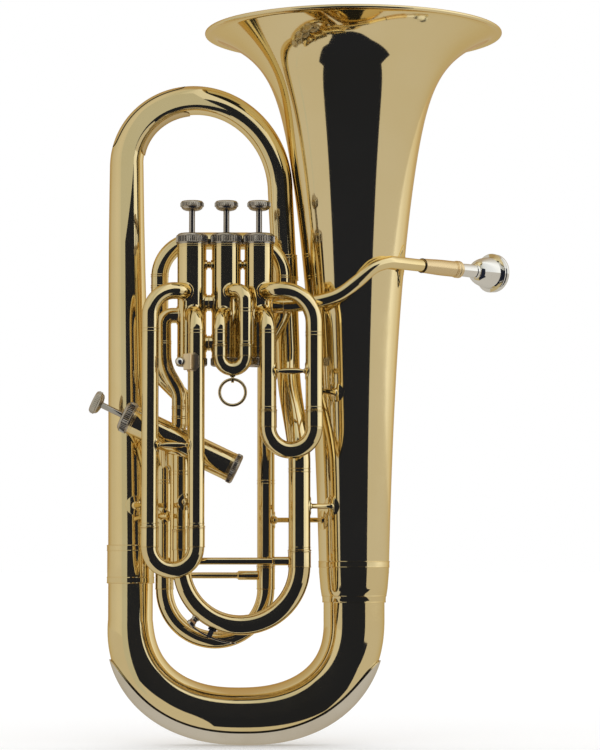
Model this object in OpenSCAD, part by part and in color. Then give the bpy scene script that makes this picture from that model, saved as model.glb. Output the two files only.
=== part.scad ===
// Four-valve baritone horn: three top valves, one side valve, five slides and a mouthpiece.
// X runs from the small branch to the bell, Y away from the valves, Z up to the bell rim.
// The origin lies under the middle of the bottom bow, at the lowest point of its guard.

/* [Bell] */
// Outside diameter of the bell rim
bell_d = 289.2; // [282:0.2:294]
// Height of the bell rim above the lowest point of the horn
bell_top = 690.5; // [670:0.5:710]
// Diameter that the bell throat tends to far below the rim
throat_d = 56.1; // [52:0.1:58]
// Diameter that the long flare adds to the throat at the rim
long_flare_d = 118.1; // [112:0.1:122]
// Length in which the long flare falls to about a third
long_flare_len = 222.4; // [205:0.1:235]
// Length in which the short flare at the rim falls to about a third
short_flare_len = 23.7; // [20:0.1:26]
// How far the bell tail steps in under its ferrule
tail_step = 1; // [0.6:0.1:1.4]
// Thickness of the bell sheet
bell_wall = 0.7; // [0.5:0.05:1]
// Diameter of the rolled bead at the bell rim
bead_d = 3.8; // [3:0.1:4.6]
// Diameter of the wire inside the bead
rim_wire_d = 2.2; // [1.6:0.1:2.6]

/* [Bows and branches] */
// Distance between the axes of the small branch and the bell
leg_spacing = 215.2; // [212:0.2:220]
// Height at which the bottom bow's legs become straight
bow_shoulder = 119.7; // [116:0.1:122]
// Diameter of the bottom bow at the small branch
bow_small_d = 43; // [41:0.2:45]
// Diameter of the bottom bow at the bell
bow_large_d = 58.8; // [57:0.2:60]
// Squareness of the bottom bow, 2 for an ellipse
bow_squareness = 2.3; // [2.1:0.05:2.5]
// Wall of the bows and branches
branch_wall = 0.9; // [0.7:0.05:1.2]
// Diameter of the small branch where it enters its ferrule
branch_d = 43.4; // [42:0.2:45]
// Diameter where the straight branch meets the top bow
branch_top_d = 32.6; // [31:0.2:34]
// Diameter at the outlet end of the top bow
top_bow_end_d = 24.2; // [23.6:0.1:24.6]
// How far below the bell rim the top bow begins on the small branch
top_bow_drop = 129.7; // [125:0.1:135]
// Rise of the top bow's centre line above its ends
top_bow_rise = 75.9; // [70:0.1:80]
// How far below the bell rim the top bow's outlet end lies
outlet_end_drop = 156.2; // [152:0.1:160]
// How far below the bell rim the descending branch's joint lies
descent_joint_drop = 231; // [227:0.5:235]
// Diameter at the lower end of the descending branch
descent_end_d = 20.8; // [20.2:0.1:21.4]

/* [Ferrules and guards] */
// Height of the bell ferrule's upper edge
bell_ferrule_top = 176.4; // [172:0.2:180]
// Length of the bell ferrule
bell_ferrule_len = 39.8; // [36:0.2:44]
// Length of the small branch ferrule
branch_ferrule_len = 37; // [32:0.5:42]
// Centre height of the small branch ferrule
branch_ferrule_z = 173.4; // [170:0.2:178]
// Length of the ferrule below the top bow
descent_ferrule_len = 25; // [20:0.5:30]
// Thickness of the ferrules
ferrule_wall = 1.1; // [0.8:0.1:1.5]
// Thickness of the bottom guard
guard_t = 1.5; // [1:0.1:2]
// Half angle of tube that the bottom guard covers
guard_half_angle = 56; // [45:1:65]
// Thickness of the wear guard on the top bow
wear_guard_t = 0.9; // [0.7:0.1:1.4]
// Half angle of tube that the wear guard covers
wear_guard_half_angle = 42; // [36:1:50]

/* [Valves] */
// Distance of the first valve right of the origin
first_valve_x = 16.5; // [15.9:0.1:16.9]
// Distance between the first and second valve
valve_step_12 = 31.2; // [31:0.1:32]
// Distance between the second and third valve
valve_step_23 = 32.8; // [32.2:0.1:33.4]
// Distance of the valve axes in front of the bell axis
valve_front = 45; // [44.6:0.1:45.4]
// Height of the bottom caps' underside
valve_low = 361.2; // [360:0.2:362]
// Height of a top valve from the bottom cap to the top cap
valve_h = 127.2; // [126:0.2:130]
// Height of the side valve from the bottom cap to the top cap
side_valve_h = 121; // [120.4:0.2:122]
// Outside diameter of the valve casings
casing_d = 27.6; // [27:0.1:28]
// Diameter of the pistons
piston_d = 24.32; // [23.6:0.02:24.5]
// Radial running clearance of the pistons
piston_clearance = 0.04; // [0.02:0.01:0.06]
// Piston travel
stroke = 17; // [14:0.5:17]
// Diameter of the valve stems
stem_d = 5.7; // [5:0.1:6.2]
// Length of stem between the top cap and the button
stem_reach = 20.6; // [19:0.1:23]
// Diameter of the finger buttons
button_d = 22.6; // [20:0.1:24]
// Thickness of the finger buttons
button_h = 10.6; // [9:0.1:12]
// Diameter of the top caps
top_cap_d = 30.6; // [30:0.1:31]
// Height of the top caps
top_cap_h = 10.6; // [8.5:0.1:11]
// Diameter of the bottom caps
bottom_cap_d = 29.8; // [29.4:0.1:30.4]
// Height of the bottom caps
bottom_cap_h = 8.1; // [7:0.1:9]
// Bore of the ports in the casings and pistons
port_d = 13; // [12:0.1:13.6]
// Height of the upper slide ports above the bottom caps' underside
front_high = 70.8; // [69:0.1:72]
// Height of the lower slide ports above the bottom caps' underside
front_low = 48.8; // [47:0.1:50]
// Height of the upper links between the valves above the bottom caps' underside
link_high = 60.7; // [59:0.1:62]
// Height of the lower links between the valves above the bottom caps' underside
link_low = 22.2; // [21:0.1:24]
// Height of the thin brace between the valves above the bottom caps' underside
valve_brace = 97.1; // [94:0.1:100]
// Height of the outlet to the fourth valve above the bottom caps' underside
outlet_high = 48.7; // [47:0.1:50]

/* [Slides] */
// Outside diameter of the slide sleeves and the slide bows
slide_d = 16; // [15.6:0.1:16.4]
// Outside diameter of the second slide's tubes
second_slide_d = 13.2; // [13:0.1:13.6]
// Wall of the slide tubes
slide_wall = 0.45; // [0.4:0.01:0.5]
// Radial clearance of a slide leg in its sleeve
slide_clearance = 0.05; // [0.03:0.01:0.08]
// Distance between the legs of the first and third slides
leg_gap = 43.4; // [42.6:0.1:44]
// Distance between the legs of the second slide
second_leg_gap = 24.1; // [23.6:0.1:24.6]
// Distance of the three front slides in front of the bell axis
front_slide_front = 73; // [72.6:0.1:73.6]
// Height of the first slide's bow ends
first_bow_z = 302.1; // [298:0.1:306]
// Height of the second slide's bow ends
second_bow_z = 369; // [367.5:0.1:370]
// Height of the third slide's bow ends
third_bow_z = 189.7; // [186:0.1:194]
// Distance between the legs of the main tuning slide
main_leg_gap = 110.9; // [110:0.1:112]
// Height of the main tuning slide's bow ends
main_bow_z = 171.8; // [168:0.1:174]
// Distance between the legs of the fourth slide
fourth_leg_gap = 97.3; // [96.6:0.1:98]
// Height of the fourth slide's bow ends
fourth_bow_z = 149.7; // [146:0.1:152]
// Distance of the fourth slide in front of the bell axis
fourth_front = 17; // [16.6:0.1:17.4]
// Outside diameter of the fourth slide and of the loop above it
fourth_d = 16.6; // [16:0.1:16.8]
// Outside diameter of the tube between the third and the fourth valve
outlet_d = 14.6; // [14:0.1:15]
// Wire of the pull ring
pull_wire_d = 2.6; // [2.2:0.1:2.8]
// Outside diameter of the pull ring
pull_ring_d = 27; // [24:0.5:30]

/* [Mouthpipe and mouthpiece] */
// Outside diameter of the leadpipe at the first valve
leadpipe_d = 13.6; // [13:0.1:14]
// Outside diameter of the leadpipe at the receiver
leadpipe_end_d = 11.8; // [11.4:0.1:12.2]
// Height of the leadpipe's port above the bottom caps' underside
lead_high = 57.8; // [56:0.1:60]
// Height of the mouthpiece axis
mouth_z = 460.8; // [458:0.1:464]
// Gap between the leadpipe and the bell
leadpipe_gap = 1.2; // [0.8:0.1:2]
// Length of the mouthpiece receiver
receiver_len = 53.5; // [50:0.5:58]
// Outside diameter of the receiver at its mouth
receiver_d = 16.8; // [16:0.1:18]
// Length of mouthpiece outside the receiver
mouthpiece_out = 50.3; // [48:0.1:54]
// Length of mouthpiece shank inside the receiver
shank_in = 28; // [24:0.5:32]
// Diameter of the shank where it enters the receiver
shank_d = 12.6; // [12.2:0.1:13]
// Outside diameter of the mouthpiece rim
rim_d = 38.4; // [36:0.1:40]
// Inside diameter of the mouthpiece cup at the rim
cup_d = 25.6; // [24:0.1:26.5]

/* [Fittings] */
// Diameter of the stay rods
stay_d = 4.2; // [3.6:0.1:5]
// Diameter of the socket for a music lyre
lyre_bore_d = 4.4; // [4:0.1:4.8]
// Height of the lyre socket's centre
lyre_z = 363.5; // [358:0.5:368]
// Width of the water key lever
lever_w = 4.2; // [3.4:0.1:5]

/* [Hidden] */

brass = "#d9b552";
gold = "#c9a23f";
nickel = "#8d8d8b";
silver = "#dcdcda";
steel = "#9aa0a6";
$fn = 48;

bell_x = leg_spacing / 2;
branch_x = -leg_spacing / 2;
valve_y = -valve_front;
slide_y = -front_slide_front;
fourth_y = -fourth_front;
valve_x = [first_valve_x, first_valve_x - valve_step_12, first_valve_x - valve_step_12 - valve_step_23];
casing_r = casing_d / 2;
bore_r = piston_d / 2 + piston_clearance;

// Outside radius of the bell at height z, and how fast it opens there
function bell_r(z) = throat_d / 2 + long_flare_d / 2 * exp((z - bell_top) / long_flare_len)
    + (bell_d - long_flare_d - throat_d) / 2 * exp((z - bell_top) / short_flare_len);
function bell_slope(z) = (bell_r(z + 0.05) - bell_r(z - 0.05)) / 0.1;
function bell_inner_r(z) = bell_r(z) - bell_wall * sqrt(1 + pow(bell_slope(z), 2));

function unit(v) = v / norm(v);
function mix(a, b, u) = a + (b - a) * u;
function smooth(u) = u * u * (3 - 2 * u);
function tangent(p, i) = unit(p[min(i + 1, len(p) - 1)] - p[max(i - 1, 0)]);
function side(p, i, ref) = unit(cross(ref, tangent(p, i)));
function turned(p, i, ref, a) =
    cos(a) * side(p, i, ref) + sin(a) * cross(tangent(p, i), side(p, i, ref));

// Sideways vectors along points p from vector v at the start, with no twist between them
function carried(p, v, i = 0) = i == len(p) ? [] :
    let (t = tangent(p, i), s = unit(v - (v * t) * t)) concat([s], carried(p, s, i + 1));

// Hollow round tube along points p, with an outside radius for each point
module sweep(p, r, wall, start, n) {
  inner = len(p) * n;
  last = (len(p) - 1) * n;
  s = carried(p, start);
  polyhedron(
    points = [for (w = [0, wall], i = [0 : len(p) - 1], k = [0 : n - 1])
      p[i] + (r[i] - w) * (cos(360 * k / n) * s[i] + sin(360 * k / n) * cross(tangent(p, i), s[i]))],
    faces = concat(
      [for (i = [0 : len(p) - 2], k = [0 : n - 1]) let (l = (k + 1) % n)
        [i * n + k, (i + 1) * n + k, (i + 1) * n + l, i * n + l]],
      [for (i = [0 : len(p) - 2], k = [0 : n - 1]) let (l = (k + 1) % n)
        [inner + i * n + k, inner + i * n + l, inner + (i + 1) * n + l, inner + (i + 1) * n + k]],
      [for (k = [0 : n - 1]) let (l = (k + 1) % n) [k, l, inner + l, inner + k]],
      [for (k = [0 : n - 1]) let (l = (k + 1) % n)
        [last + k, inner + last + k, inner + last + l, last + l]]),
    convexity = 8);
}

// Curved plate of thickness t, a gap above the tube of radii r along points p. It passes the whole
// and part points q of that path, and is a half angle w[i] wide at q[i]
module saddle(p, r, gap, q, w, t, ref, n) {
  cols = n + 1;
  size = 2 * cols;
  span = len(q) - 1;
  function at(i, j, k) = i * size + j * cols + k;
  function above(i, lift, a) = p[i] + (r[i] + lift) * turned(p, i, ref, a);
  polyhedron(
    points = [for (i = [0 : span], j = [0, 1], k = [0 : n])
      let (f = floor(q[i]), lift = gap + j * t, a = w[i] * (2 * k / n - 1))
      mix(above(f, lift, a), above(f + 1, lift, a), q[i] - f)],
    faces = concat(
      [for (i = [0 : span - 1], k = [0 : n - 1])
        [at(i, 1, k), at(i + 1, 1, k), at(i + 1, 1, k + 1), at(i, 1, k + 1)]],
      [for (i = [0 : span - 1], k = [0 : n - 1])
        [at(i, 0, k), at(i, 0, k + 1), at(i + 1, 0, k + 1), at(i + 1, 0, k)]],
      [for (i = [0 : span - 1]) [at(i, 0, 0), at(i + 1, 0, 0), at(i + 1, 1, 0), at(i, 1, 0)]],
      [for (i = [0 : span - 1]) [at(i, 0, n), at(i, 1, n), at(i + 1, 1, n), at(i + 1, 0, n)]],
      [for (k = [0 : n - 1]) [at(0, 1, k), at(0, 1, k + 1), at(0, 0, k + 1), at(0, 0, k)]],
      [for (k = [0 : n - 1])
        [at(span, 0, k), at(span, 0, k + 1), at(span, 1, k + 1), at(span, 1, k)]]),
    convexity = 8);
}

// Path through corner points p, rounded by radius r[i] at corner i
function rounded(p, r) = concat([p[0]], [for (i = [1 : len(p) - 2]) let (
    u = unit(p[i - 1] - p[i]), v = unit(p[i + 1] - p[i]), half = acos(u * v) / 2,
    c = p[i] + unit(u + v) * r[i] / sin(half), a = p[i] + u * r[i] / tan(half) - c,
    b = p[i] + v * r[i] / tan(half) - c, arc = 180 - 2 * half, steps = ceil(arc / 13))
    for (k = [0 : steps]) c + (sin(arc * (1 - k / steps)) * a + sin(arc * k / steps) * b) / sin(arc)],
    [p[len(p) - 1]]);

// Cross-section of a tube
module wall_section(d, wall) {
  difference() {
    circle(d = d);
    circle(d = d - 2 * wall);
  }
}

// Part of a hollow ring that starts at the origin along +Z and bends to +X
module bend(radius, angle, d, wall) {
  translate([radius, 0, 0]) rotate([90, 0, 0]) rotate([0, 0, 180 - angle])
    rotate_extrude(angle = angle) translate([radius, 0]) wall_section(d, wall);
}

// Open round tube of steps: [length] is straight, [radius, angle, roll] bends
module tube(steps, d, wall, i = 0) {
  if (i < len(steps)) {
    s = steps[i];
    if (len(s) == 1) {
      pipe(0, s[0], d, wall);
      translate([0, 0, s[0]]) tube(steps, d, wall, i + 1);
    } else
      rotate([0, 0, s[2]]) {
        bend(s[0], s[1], d, wall);
        translate([s[0], 0, 0]) rotate([0, s[1], 0]) translate([-s[0], 0, 0])
          tube(steps, d, wall, i + 1);
      }
  }
}

// Straight tube from z0 up to z1
module pipe(z0, z1, d, wall) {
  translate([0, 0, z0]) linear_extrude(z1 - z0) wall_section(d, wall);
}

// ---- Bell ----

bell_joint = bell_ferrule_top - bell_ferrule_len / 2;
tail_r = bell_r(bell_ferrule_top) - tail_step;
// Below this height the short flare no longer shows
flare_z = bell_top - 4 * short_flare_len;
bell_z = concat([for (i = [0 : 20]) mix(bell_ferrule_top, flare_z, i / 20)],
    [for (i = [1 : 20]) mix(flare_z, bell_top - bead_d / 4, smooth(i / 20) * 0.3 + i / 20 * 0.7)]);

module bell() {
  bead_r = bead_d / 2;
  color(brass) difference() {
    union() {
      rotate_extrude($fn = 120) polygon(concat(
        [[tail_r - bell_wall, bell_joint], [tail_r, bell_joint], [tail_r, bell_ferrule_top]],
        [for (z = bell_z) [bell_r(z), z]],
        [for (i = [len(bell_z) - 1 : -1 : 0]) [bell_inner_r(bell_z[i]), bell_z[i]]],
        [[tail_r - bell_wall, bell_ferrule_top]]));
      translate([0, 0, bell_top - bead_r])
        rotate_extrude($fn = 120) translate([bell_d / 2 - bead_r, 0]) circle(r = bead_r, $fn = 24);
    }
    translate([0, 0, bell_top - bead_r])
      rotate_extrude($fn = 120) translate([bell_d / 2 - bead_r, 0]) circle(d = rim_wire_d, $fn = 24);
  }
}

module bell_rim_wire() {
  color(steel) translate([0, 0, bell_top - bead_d / 2])
    rotate_extrude($fn = 120) translate([bell_d / 2 - bead_d / 2, 0]) circle(d = rim_wire_d, $fn = 24);
}

module bell_ferrule() {
  low = bell_ferrule_top - bell_ferrule_len;
  out_top = bell_r(bell_ferrule_top) + 0.3;
  out_low = bow_large_d / 2 + ferrule_wall;
  color(brass) rotate_extrude($fn = 96) polygon([
    [tail_r, bell_joint], [tail_r, bell_ferrule_top], [out_top, bell_ferrule_top],
    [out_top - 0.3, bell_joint], [out_low + 0.8, low + 8], [out_low, low],
    [bow_large_d / 2 + 0.1, low], [bow_large_d / 2 + 0.1, bell_joint]]);
}

// ---- Bottom bow ----

bow_half = leg_spacing / 2;
guard_seat = 0.3;
// Lowest point of the centre line: the guard under it reaches height zero
bow_low = bow_r(0.5) + guard_seat + guard_t;
bow_drop = bow_shoulder - bow_low;
function bow_point(a) = [-bow_half * sign(cos(a)) * pow(abs(cos(a)), 2 / bow_squareness), 0,
    bow_shoulder - bow_drop * pow(abs(sin(a)), 2 / bow_squareness)];
function bow_r(u) = mix(bow_small_d, bow_large_d, pow(u, 0.6)) / 2;
bow_steps = 26;
// Angles crowd towards the ends, where the superellipse runs fast
bow_angles = [for (i = [0 : bow_steps]) 90 - 90 * cos(180 * i / bow_steps)];
bow_path = concat([[branch_x, 0, branch_ferrule_z]], [for (a = bow_angles) bow_point(a)],
    [[bell_x, 0, bell_joint]]);
bow_radii = concat([bow_small_d / 2], [for (a = bow_angles) bow_r(a / 180)], [bow_large_d / 2]);

module bottom_bow() {
  color(brass) sweep(bow_path, bow_radii, branch_wall, [0, 1, 0], 28);
}

module bottom_bow_guard() {
  first = 6;
  last = 22;
  places = concat([6, 6.15, 6.4, 6.8, 7.4], [for (i = [8 : 20]) i], [20.6, 21.2, 21.6, 21.85, 22]);
  color(silver) saddle(bow_path, bow_radii, guard_seat, places,
    [for (q = places) 6 + (guard_half_angle - 6) * sqrt(1 - pow(abs(2 * (q - first) / (last - first) - 1), 5))],
    guard_t, [0, 1, 0], 14);
}

module branch_ferrule() {
  color(brass) translate([branch_x, 0, branch_ferrule_z - branch_ferrule_len / 2])
    difference() {
      cylinder(h = branch_ferrule_len, d = branch_d + 2 * ferrule_wall, $fn = 96);
      translate([0, 0, -1]) cylinder(h = branch_ferrule_len + 2, d = branch_d + 0.2, $fn = 96);
    }
}

// ---- Top bow and descending branch ----

branch_lean = 5.3;
bow_top_left = branch_x - branch_lean;
descent_x = 36.4;
top_bow_start = bell_top - top_bow_drop;
descent_start = bell_top - outlet_end_drop;
descent_joint = bell_top - descent_joint_drop;
joint_x = 40.4;
top_mid = (bow_top_left + descent_x) / 2;
top_half = (descent_x - bow_top_left) / 2;
function top_point(a) = [top_mid - top_half * cos(a), 0,
    mix(top_bow_start, descent_start, a / 180) + top_bow_rise * sin(a)];
top_angles = [for (i = [0 : 16]) 180 * i / 16];
top_path = concat(
    [[branch_x, 0, branch_ferrule_z], [branch_x, 0, branch_ferrule_z + branch_ferrule_len / 2 + 1],
     [branch_x - branch_lean * 0.85, 0, mix(branch_ferrule_z, top_bow_start, 0.72)]],
    [for (a = top_angles) top_point(a)],
    [[joint_x, 0, descent_joint]]);
top_radii = concat([branch_d, branch_d, mix(branch_d, branch_top_d, 0.76)] / 2,
    [for (a = top_angles) mix(branch_top_d, top_bow_end_d, pow(a / 180, 0.8)) / 2],
    [top_bow_end_d / 2]);

module top_bow() {
  color(brass) sweep(top_path, top_radii, branch_wall, [0, -1, 0], 24);
}

module top_bow_guard() {
  first = 4;
  last = 10;
  color(gold) saddle(top_path, top_radii, 0.2, [for (i = [first : last]) i],
    [for (i = [first : last]) wear_guard_half_angle * (i == first || i == last ? 0.6 : 1)],
    wear_guard_t, [0, -1, 0], 12);
}

joint_tilt = atan2(joint_x - descent_x, descent_start - descent_joint);

module descending_ferrule() {
  color(brass) translate([joint_x, 0, descent_joint]) rotate([0, -joint_tilt, 0])
    translate([0, 0, -descent_ferrule_len / 2]) difference() {
      cylinder(h = descent_ferrule_len, d = top_bow_end_d + 2 * ferrule_wall);
      translate([0, 0, -1]) cylinder(h = descent_ferrule_len + 2, d = top_bow_end_d + 0.5);
    }
}

main_right_x = 55.1;
main_left_x = main_right_x - main_leg_gap;
sleeve_top = 264;
descent_knee = 380;
knee_x = 43.9;
descent_path = concat(
    [[joint_x, 0, descent_joint], mix([joint_x, 0, descent_joint], [knee_x, 0, descent_knee], 0.5)],
    [for (i = [0 : 11]) let (u = i / 11, s = smooth(u))
      [mix(knee_x, main_right_x, pow(s, 1.3)), mix(0, valve_y, s), mix(descent_knee, sleeve_top + 4, u)]],
    [[main_right_x, valve_y, sleeve_top]]);
descent_radii = [for (i = [0 : len(descent_path) - 1])
    mix(top_bow_end_d, descent_end_d, i / (len(descent_path) - 1)) / 2];

module descending_branch() {
  color(brass) sweep(descent_path, descent_radii, branch_wall, [1, 0, 0], 24);
}

// ---- Leadpipe, receiver and mouthpiece ----

lead_port_z = valve_low + lead_high;
wrap_r = bell_r(mouth_z) + leadpipe_d / 2 + leadpipe_gap;
function wrap_point(a, z) = [bell_x + wrap_r * cos(a), wrap_r * sin(a), z];
mouth_dir = [cos(45), sin(45), 0];
wrap_end = wrap_point(-45, mouth_z);
receiver_start = wrap_end + 41 * mouth_dir;
lead_guides = [
    [valve_x[0] - 12, valve_y + 1, lead_port_z], [valve_x[0] + casing_r, valve_y, lead_port_z],
    [valve_x[0] + 32, valve_y - 2, lead_port_z + 0.4], [valve_x[0] + 52, valve_y - 6, lead_port_z + 3],
    wrap_point(-106, lead_port_z + 9.5), wrap_point(-88, lead_port_z + 22),
    wrap_point(-72, mouth_z - 6), wrap_point(-57, mouth_z - 0.6), wrap_end,
    wrap_end + 20 * mouth_dir, receiver_start, receiver_start + 20 * mouth_dir];
function curve(p, i, u) = 0.5 * (2 * p[i] + (p[i + 1] - p[i - 1]) * u
    + (2 * p[i - 1] - 5 * p[i] + 4 * p[i + 1] - p[i + 2]) * u * u
    + (3 * p[i] - p[i - 1] - 3 * p[i + 1] + p[i + 2]) * u * u * u);
lead_path = concat([for (i = [1 : len(lead_guides) - 3], u = [0, 1 / 3, 2 / 3]) curve(lead_guides, i, u)],
    [receiver_start]);

module leadpipe() {
  last = len(lead_path) - 1;
  color(brass) difference() {
    sweep(lead_path, [for (i = [0 : last]) mix(leadpipe_d, leadpipe_end_d, i / last) / 2],
      slide_wall + 0.15, [0, 0, 1], 20);
    translate([valve_x[0], valve_y, lead_port_z - 20]) cylinder(h = 40, r = casing_r + 0.05);
  }
}

shank_end_d = shank_d - 0.05 * shank_in;
shank_clearance = 0.06;

// Places its children with +Z along the mouthpiece axis and the origin at the receiver's inner end
module on_mouth_axis() {
  translate(receiver_start) rotate([0, 90, 45]) children();
}

module mouthpiece_receiver() {
  bore_d = leadpipe_end_d - 2 * slide_wall - 0.3;
  seat = receiver_len - shank_in;
  r_end = receiver_d / 2;
  color(gold) on_mouth_axis() rotate_extrude() polygon([
    [bore_d / 2, 0], [leadpipe_end_d / 2 + 1.2, 0], [r_end - 0.6, receiver_len * 0.55],
    [r_end - 0.6, receiver_len - 4], [r_end, receiver_len - 3.4], [r_end, receiver_len],
    [shank_d / 2 + shank_clearance, receiver_len],
    [shank_end_d / 2 + shank_clearance, seat], [bore_d / 2, seat]]);
}

module mouthpiece() {
  tip = receiver_len - shank_in + 0.2;
  mouth = receiver_len;
  rim_face = receiver_len + mouthpiece_out;
  throat_r = 3.4;
  back_r = 4.6;
  shank_r = shank_d / 2;
  cup_r = cup_d / 2;
  rim_r = rim_d / 2;
  color(silver) on_mouth_axis() rotate_extrude($fn = 64) polygon(concat(
    [[back_r, tip], [shank_end_d / 2, tip], [shank_r, mouth], [shank_r + 0.3, mouth + 10],
     [shank_r + 1.6, mouth + 15], [shank_r + 1.6, mouth + 17], [shank_r + 0.9, mouth + 18]],
    [for (a = [0 : 15 : 75]) [shank_r + 0.9 + (rim_r - 3.2 - shank_r) * sin(a),
      mouth + 18 + (rim_face - 9 - mouth - 18) * (1 - cos(a)) / (1 - cos(75))]],
    [[rim_r - 0.8, rim_face - 6], [rim_r, rim_face - 4.5], [rim_r, rim_face - 2.2],
     [rim_r - 1.2, rim_face - 0.6], [rim_r - 3.2, rim_face], [cup_r + 1.4, rim_face - 0.3],
     [cup_r, rim_face - 2]],
    [for (a = [10 : 16 : 74]) [throat_r + (cup_r - throat_r) * cos(a), rim_face - 2 - 21 * sin(a)]],
    [[throat_r, rim_face - 26], [throat_r, rim_face - 32]]));
}

// ---- Valves ----

side_tilt = 25.6;
side_low = [-4, valve_y, 262.7];
valves = [for (i = [0 : 3]) i < 3 ? valve_h : side_valve_h];
cap_floor = 1.5;
casing_inset = 3.8;
top_plate = 1.6;
felt_gap = 0.6;
piston_low = stroke + cap_floor + 0.5;
barrel_len = 40;
guide_t = 3;
guide_rise = 3.5;
barrel_r = piston_d / 2 - 1.5;
lug_w = 4.2;
function piston_top(i) = valves[i] - cap_floor - felt_gap;
function barrel_low(i) = piston_top(i) - barrel_len;

// Places its children in the frame of valve i: +Z along the stem, origin under the bottom cap
module in_valve(i) {
  if (i < 3) translate([valve_x[i], valve_y, valve_low]) children();
  else translate(side_low) rotate([0, side_tilt - 90, 0]) children();
}

// Where the slide legs and the tubes into the side valve stand
first_right_x = 68.8;
first_left_x = first_right_x - leg_gap;
second_right_x = 4.2;
second_left_x = second_right_x - second_leg_gap;
third_right_x = -42.1;
third_left_x = third_right_x - leg_gap;
fourth_left_x = -74.4;
fourth_right_x = fourth_left_x + fourth_leg_gap;
outlet_low_x = -59;
loop_in_x = -44.5;
// Turn of each upper front port towards the bell, from straight ahead
knuckle_turn = [34, 23, -33];
// Direction from the axis of valve i to a front leg at x
function leg_direction(i, x) = atan2(slide_y - valve_y, x - valve_x[i]);
// Ports of each valve: height in the valve's frame and direction about its axis
ports = [
    [[front_high, knuckle_turn[0] - 90], [front_low, leg_direction(0, first_left_x)],
     [link_high, 180], [lead_high, 0]],
    [[front_high, knuckle_turn[1] - 90], [front_low, leg_direction(1, second_left_x)],
     [link_high, 180], [link_high, 0]],
    [[front_high, knuckle_turn[2] - 90], [front_low, leg_direction(2, third_right_x)],
     [link_high, 0], [outlet_high, 180]],
    [[side_at(main_left_x), 180], [side_at(outlet_low_x), 0], [side_at(fourth_left_x), 135],
     [side_at(loop_in_x), 90]]];
// Height on the side valve's axis of the point above x
function side_at(x) = (side_low[0] - x) / cos(side_tilt);
function side_axis_z(x) = side_low[2] + (side_low[0] - x) * tan(side_tilt);

module port_cuts(i, from, to) {
  for (p = ports[i]) translate([0, 0, p[0]]) rotate([0, 90, p[1]]) translate([0, 0, from])
    cylinder(h = to - from, d = port_d, $fn = 32);
}

module valve_casing(i) {
  color(brass) in_valve(i) difference() {
    pipe(cap_floor, valves[i] - casing_inset, casing_d, casing_r - bore_r);
    port_cuts(i, bore_r - 3, casing_r + 3);
  }
}

module valve_top_caps() {
  color(nickel) for (i = [0 : 3]) in_valve(i) translate([0, 0, valves[i] - top_cap_h])
    rotate_extrude() polygon([
      [casing_r, 0], [top_cap_d / 2, 0], [top_cap_d / 2, top_cap_h - 1.2],
      [top_cap_d / 2 - 1.2, top_cap_h], [stem_d / 2 + 0.4, top_cap_h],
      [stem_d / 2 + 0.4, top_cap_h - cap_floor], [casing_r - 0.3, top_cap_h - cap_floor],
      [casing_r - 0.3, top_cap_h - casing_inset], [casing_r, top_cap_h - casing_inset]]);
}

module valve_bottom_caps() {
  color(nickel) for (i = [0 : 3]) in_valve(i)
    rotate_extrude() polygon([
      [0, 0], [bottom_cap_d / 2 - 1, 0], [bottom_cap_d / 2, 1], [bottom_cap_d / 2, bottom_cap_h],
      [casing_r, bottom_cap_h], [casing_r, cap_floor], [0, cap_floor]]);
}

module piston(i) {
  top = piston_top(i);
  low = barrel_low(i);
  color(steel) in_valve(i) difference() {
    translate([0, 0, piston_low]) cylinder(h = top - piston_low, d = piston_d);
    translate([0, 0, piston_low - 1]) cylinder(h = 3, r = barrel_r);
    translate([0, 0, low]) cylinder(h = barrel_len - top_plate, r = barrel_r);
    translate([0, 0, low]) cylinder(h = barrel_len + 1, d = stem_d - 1.8);
    // Slots that pass the guide's lugs over the whole travel
    translate([-piston_d, -lug_w / 2 - 0.4, low + guide_rise - 0.5])
      cube([2 * piston_d, lug_w + 0.8, guide_t + stroke + 1.5]);
    for (p = ports[i]) if (p[0] > piston_low && p[0] + port_d / 2 < low)
      translate([0, 0, p[0]]) rotate([0, 90, p[1]]) translate([0, 0, 3])
        cylinder(h = piston_d, d = port_d, $fn = 32);
  }
}

module valve_guides() {
  color("white") for (i = [0 : 3]) in_valve(i) translate([0, 0, barrel_low(i) + guide_rise])
    intersection() {
      union() {
        cylinder(h = guide_t, r = barrel_r - 0.3);
        translate([-casing_r, -lug_w / 2, 0]) cube([casing_d, lug_w, guide_t]);
      }
      translate([0, 0, -1]) cylinder(h = guide_t + 2, r = bore_r);
    }
}

module valve_stem(i) {
  top = piston_top(i);
  color(nickel) in_valve(i) union() {
    translate([0, 0, top - top_plate]) cylinder(h = top_plate, d = stem_d - 1.8);
    translate([0, 0, top]) cylinder(h = valves[i] + stem_reach + 3 - top, d = stem_d);
  }
}

module finger_button(i) {
  r = button_d / 2;
  color(nickel) in_valve(i) translate([0, 0, valves[i] + stem_reach])
    rotate_extrude() polygon([
      [stem_d / 2, 0], [stem_d / 2 + 1.5, 0], [r * 0.72, 1], [r - 0.6, button_h * 0.35],
      [r, button_h * 0.45], [r, button_h * 0.8], [r - 0.7, button_h * 0.95],
      [r - 2, button_h], [r - 3.4, button_h - 0.7], [0, button_h - 1], [0, 3], [stem_d / 2, 3]]);
}

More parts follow.
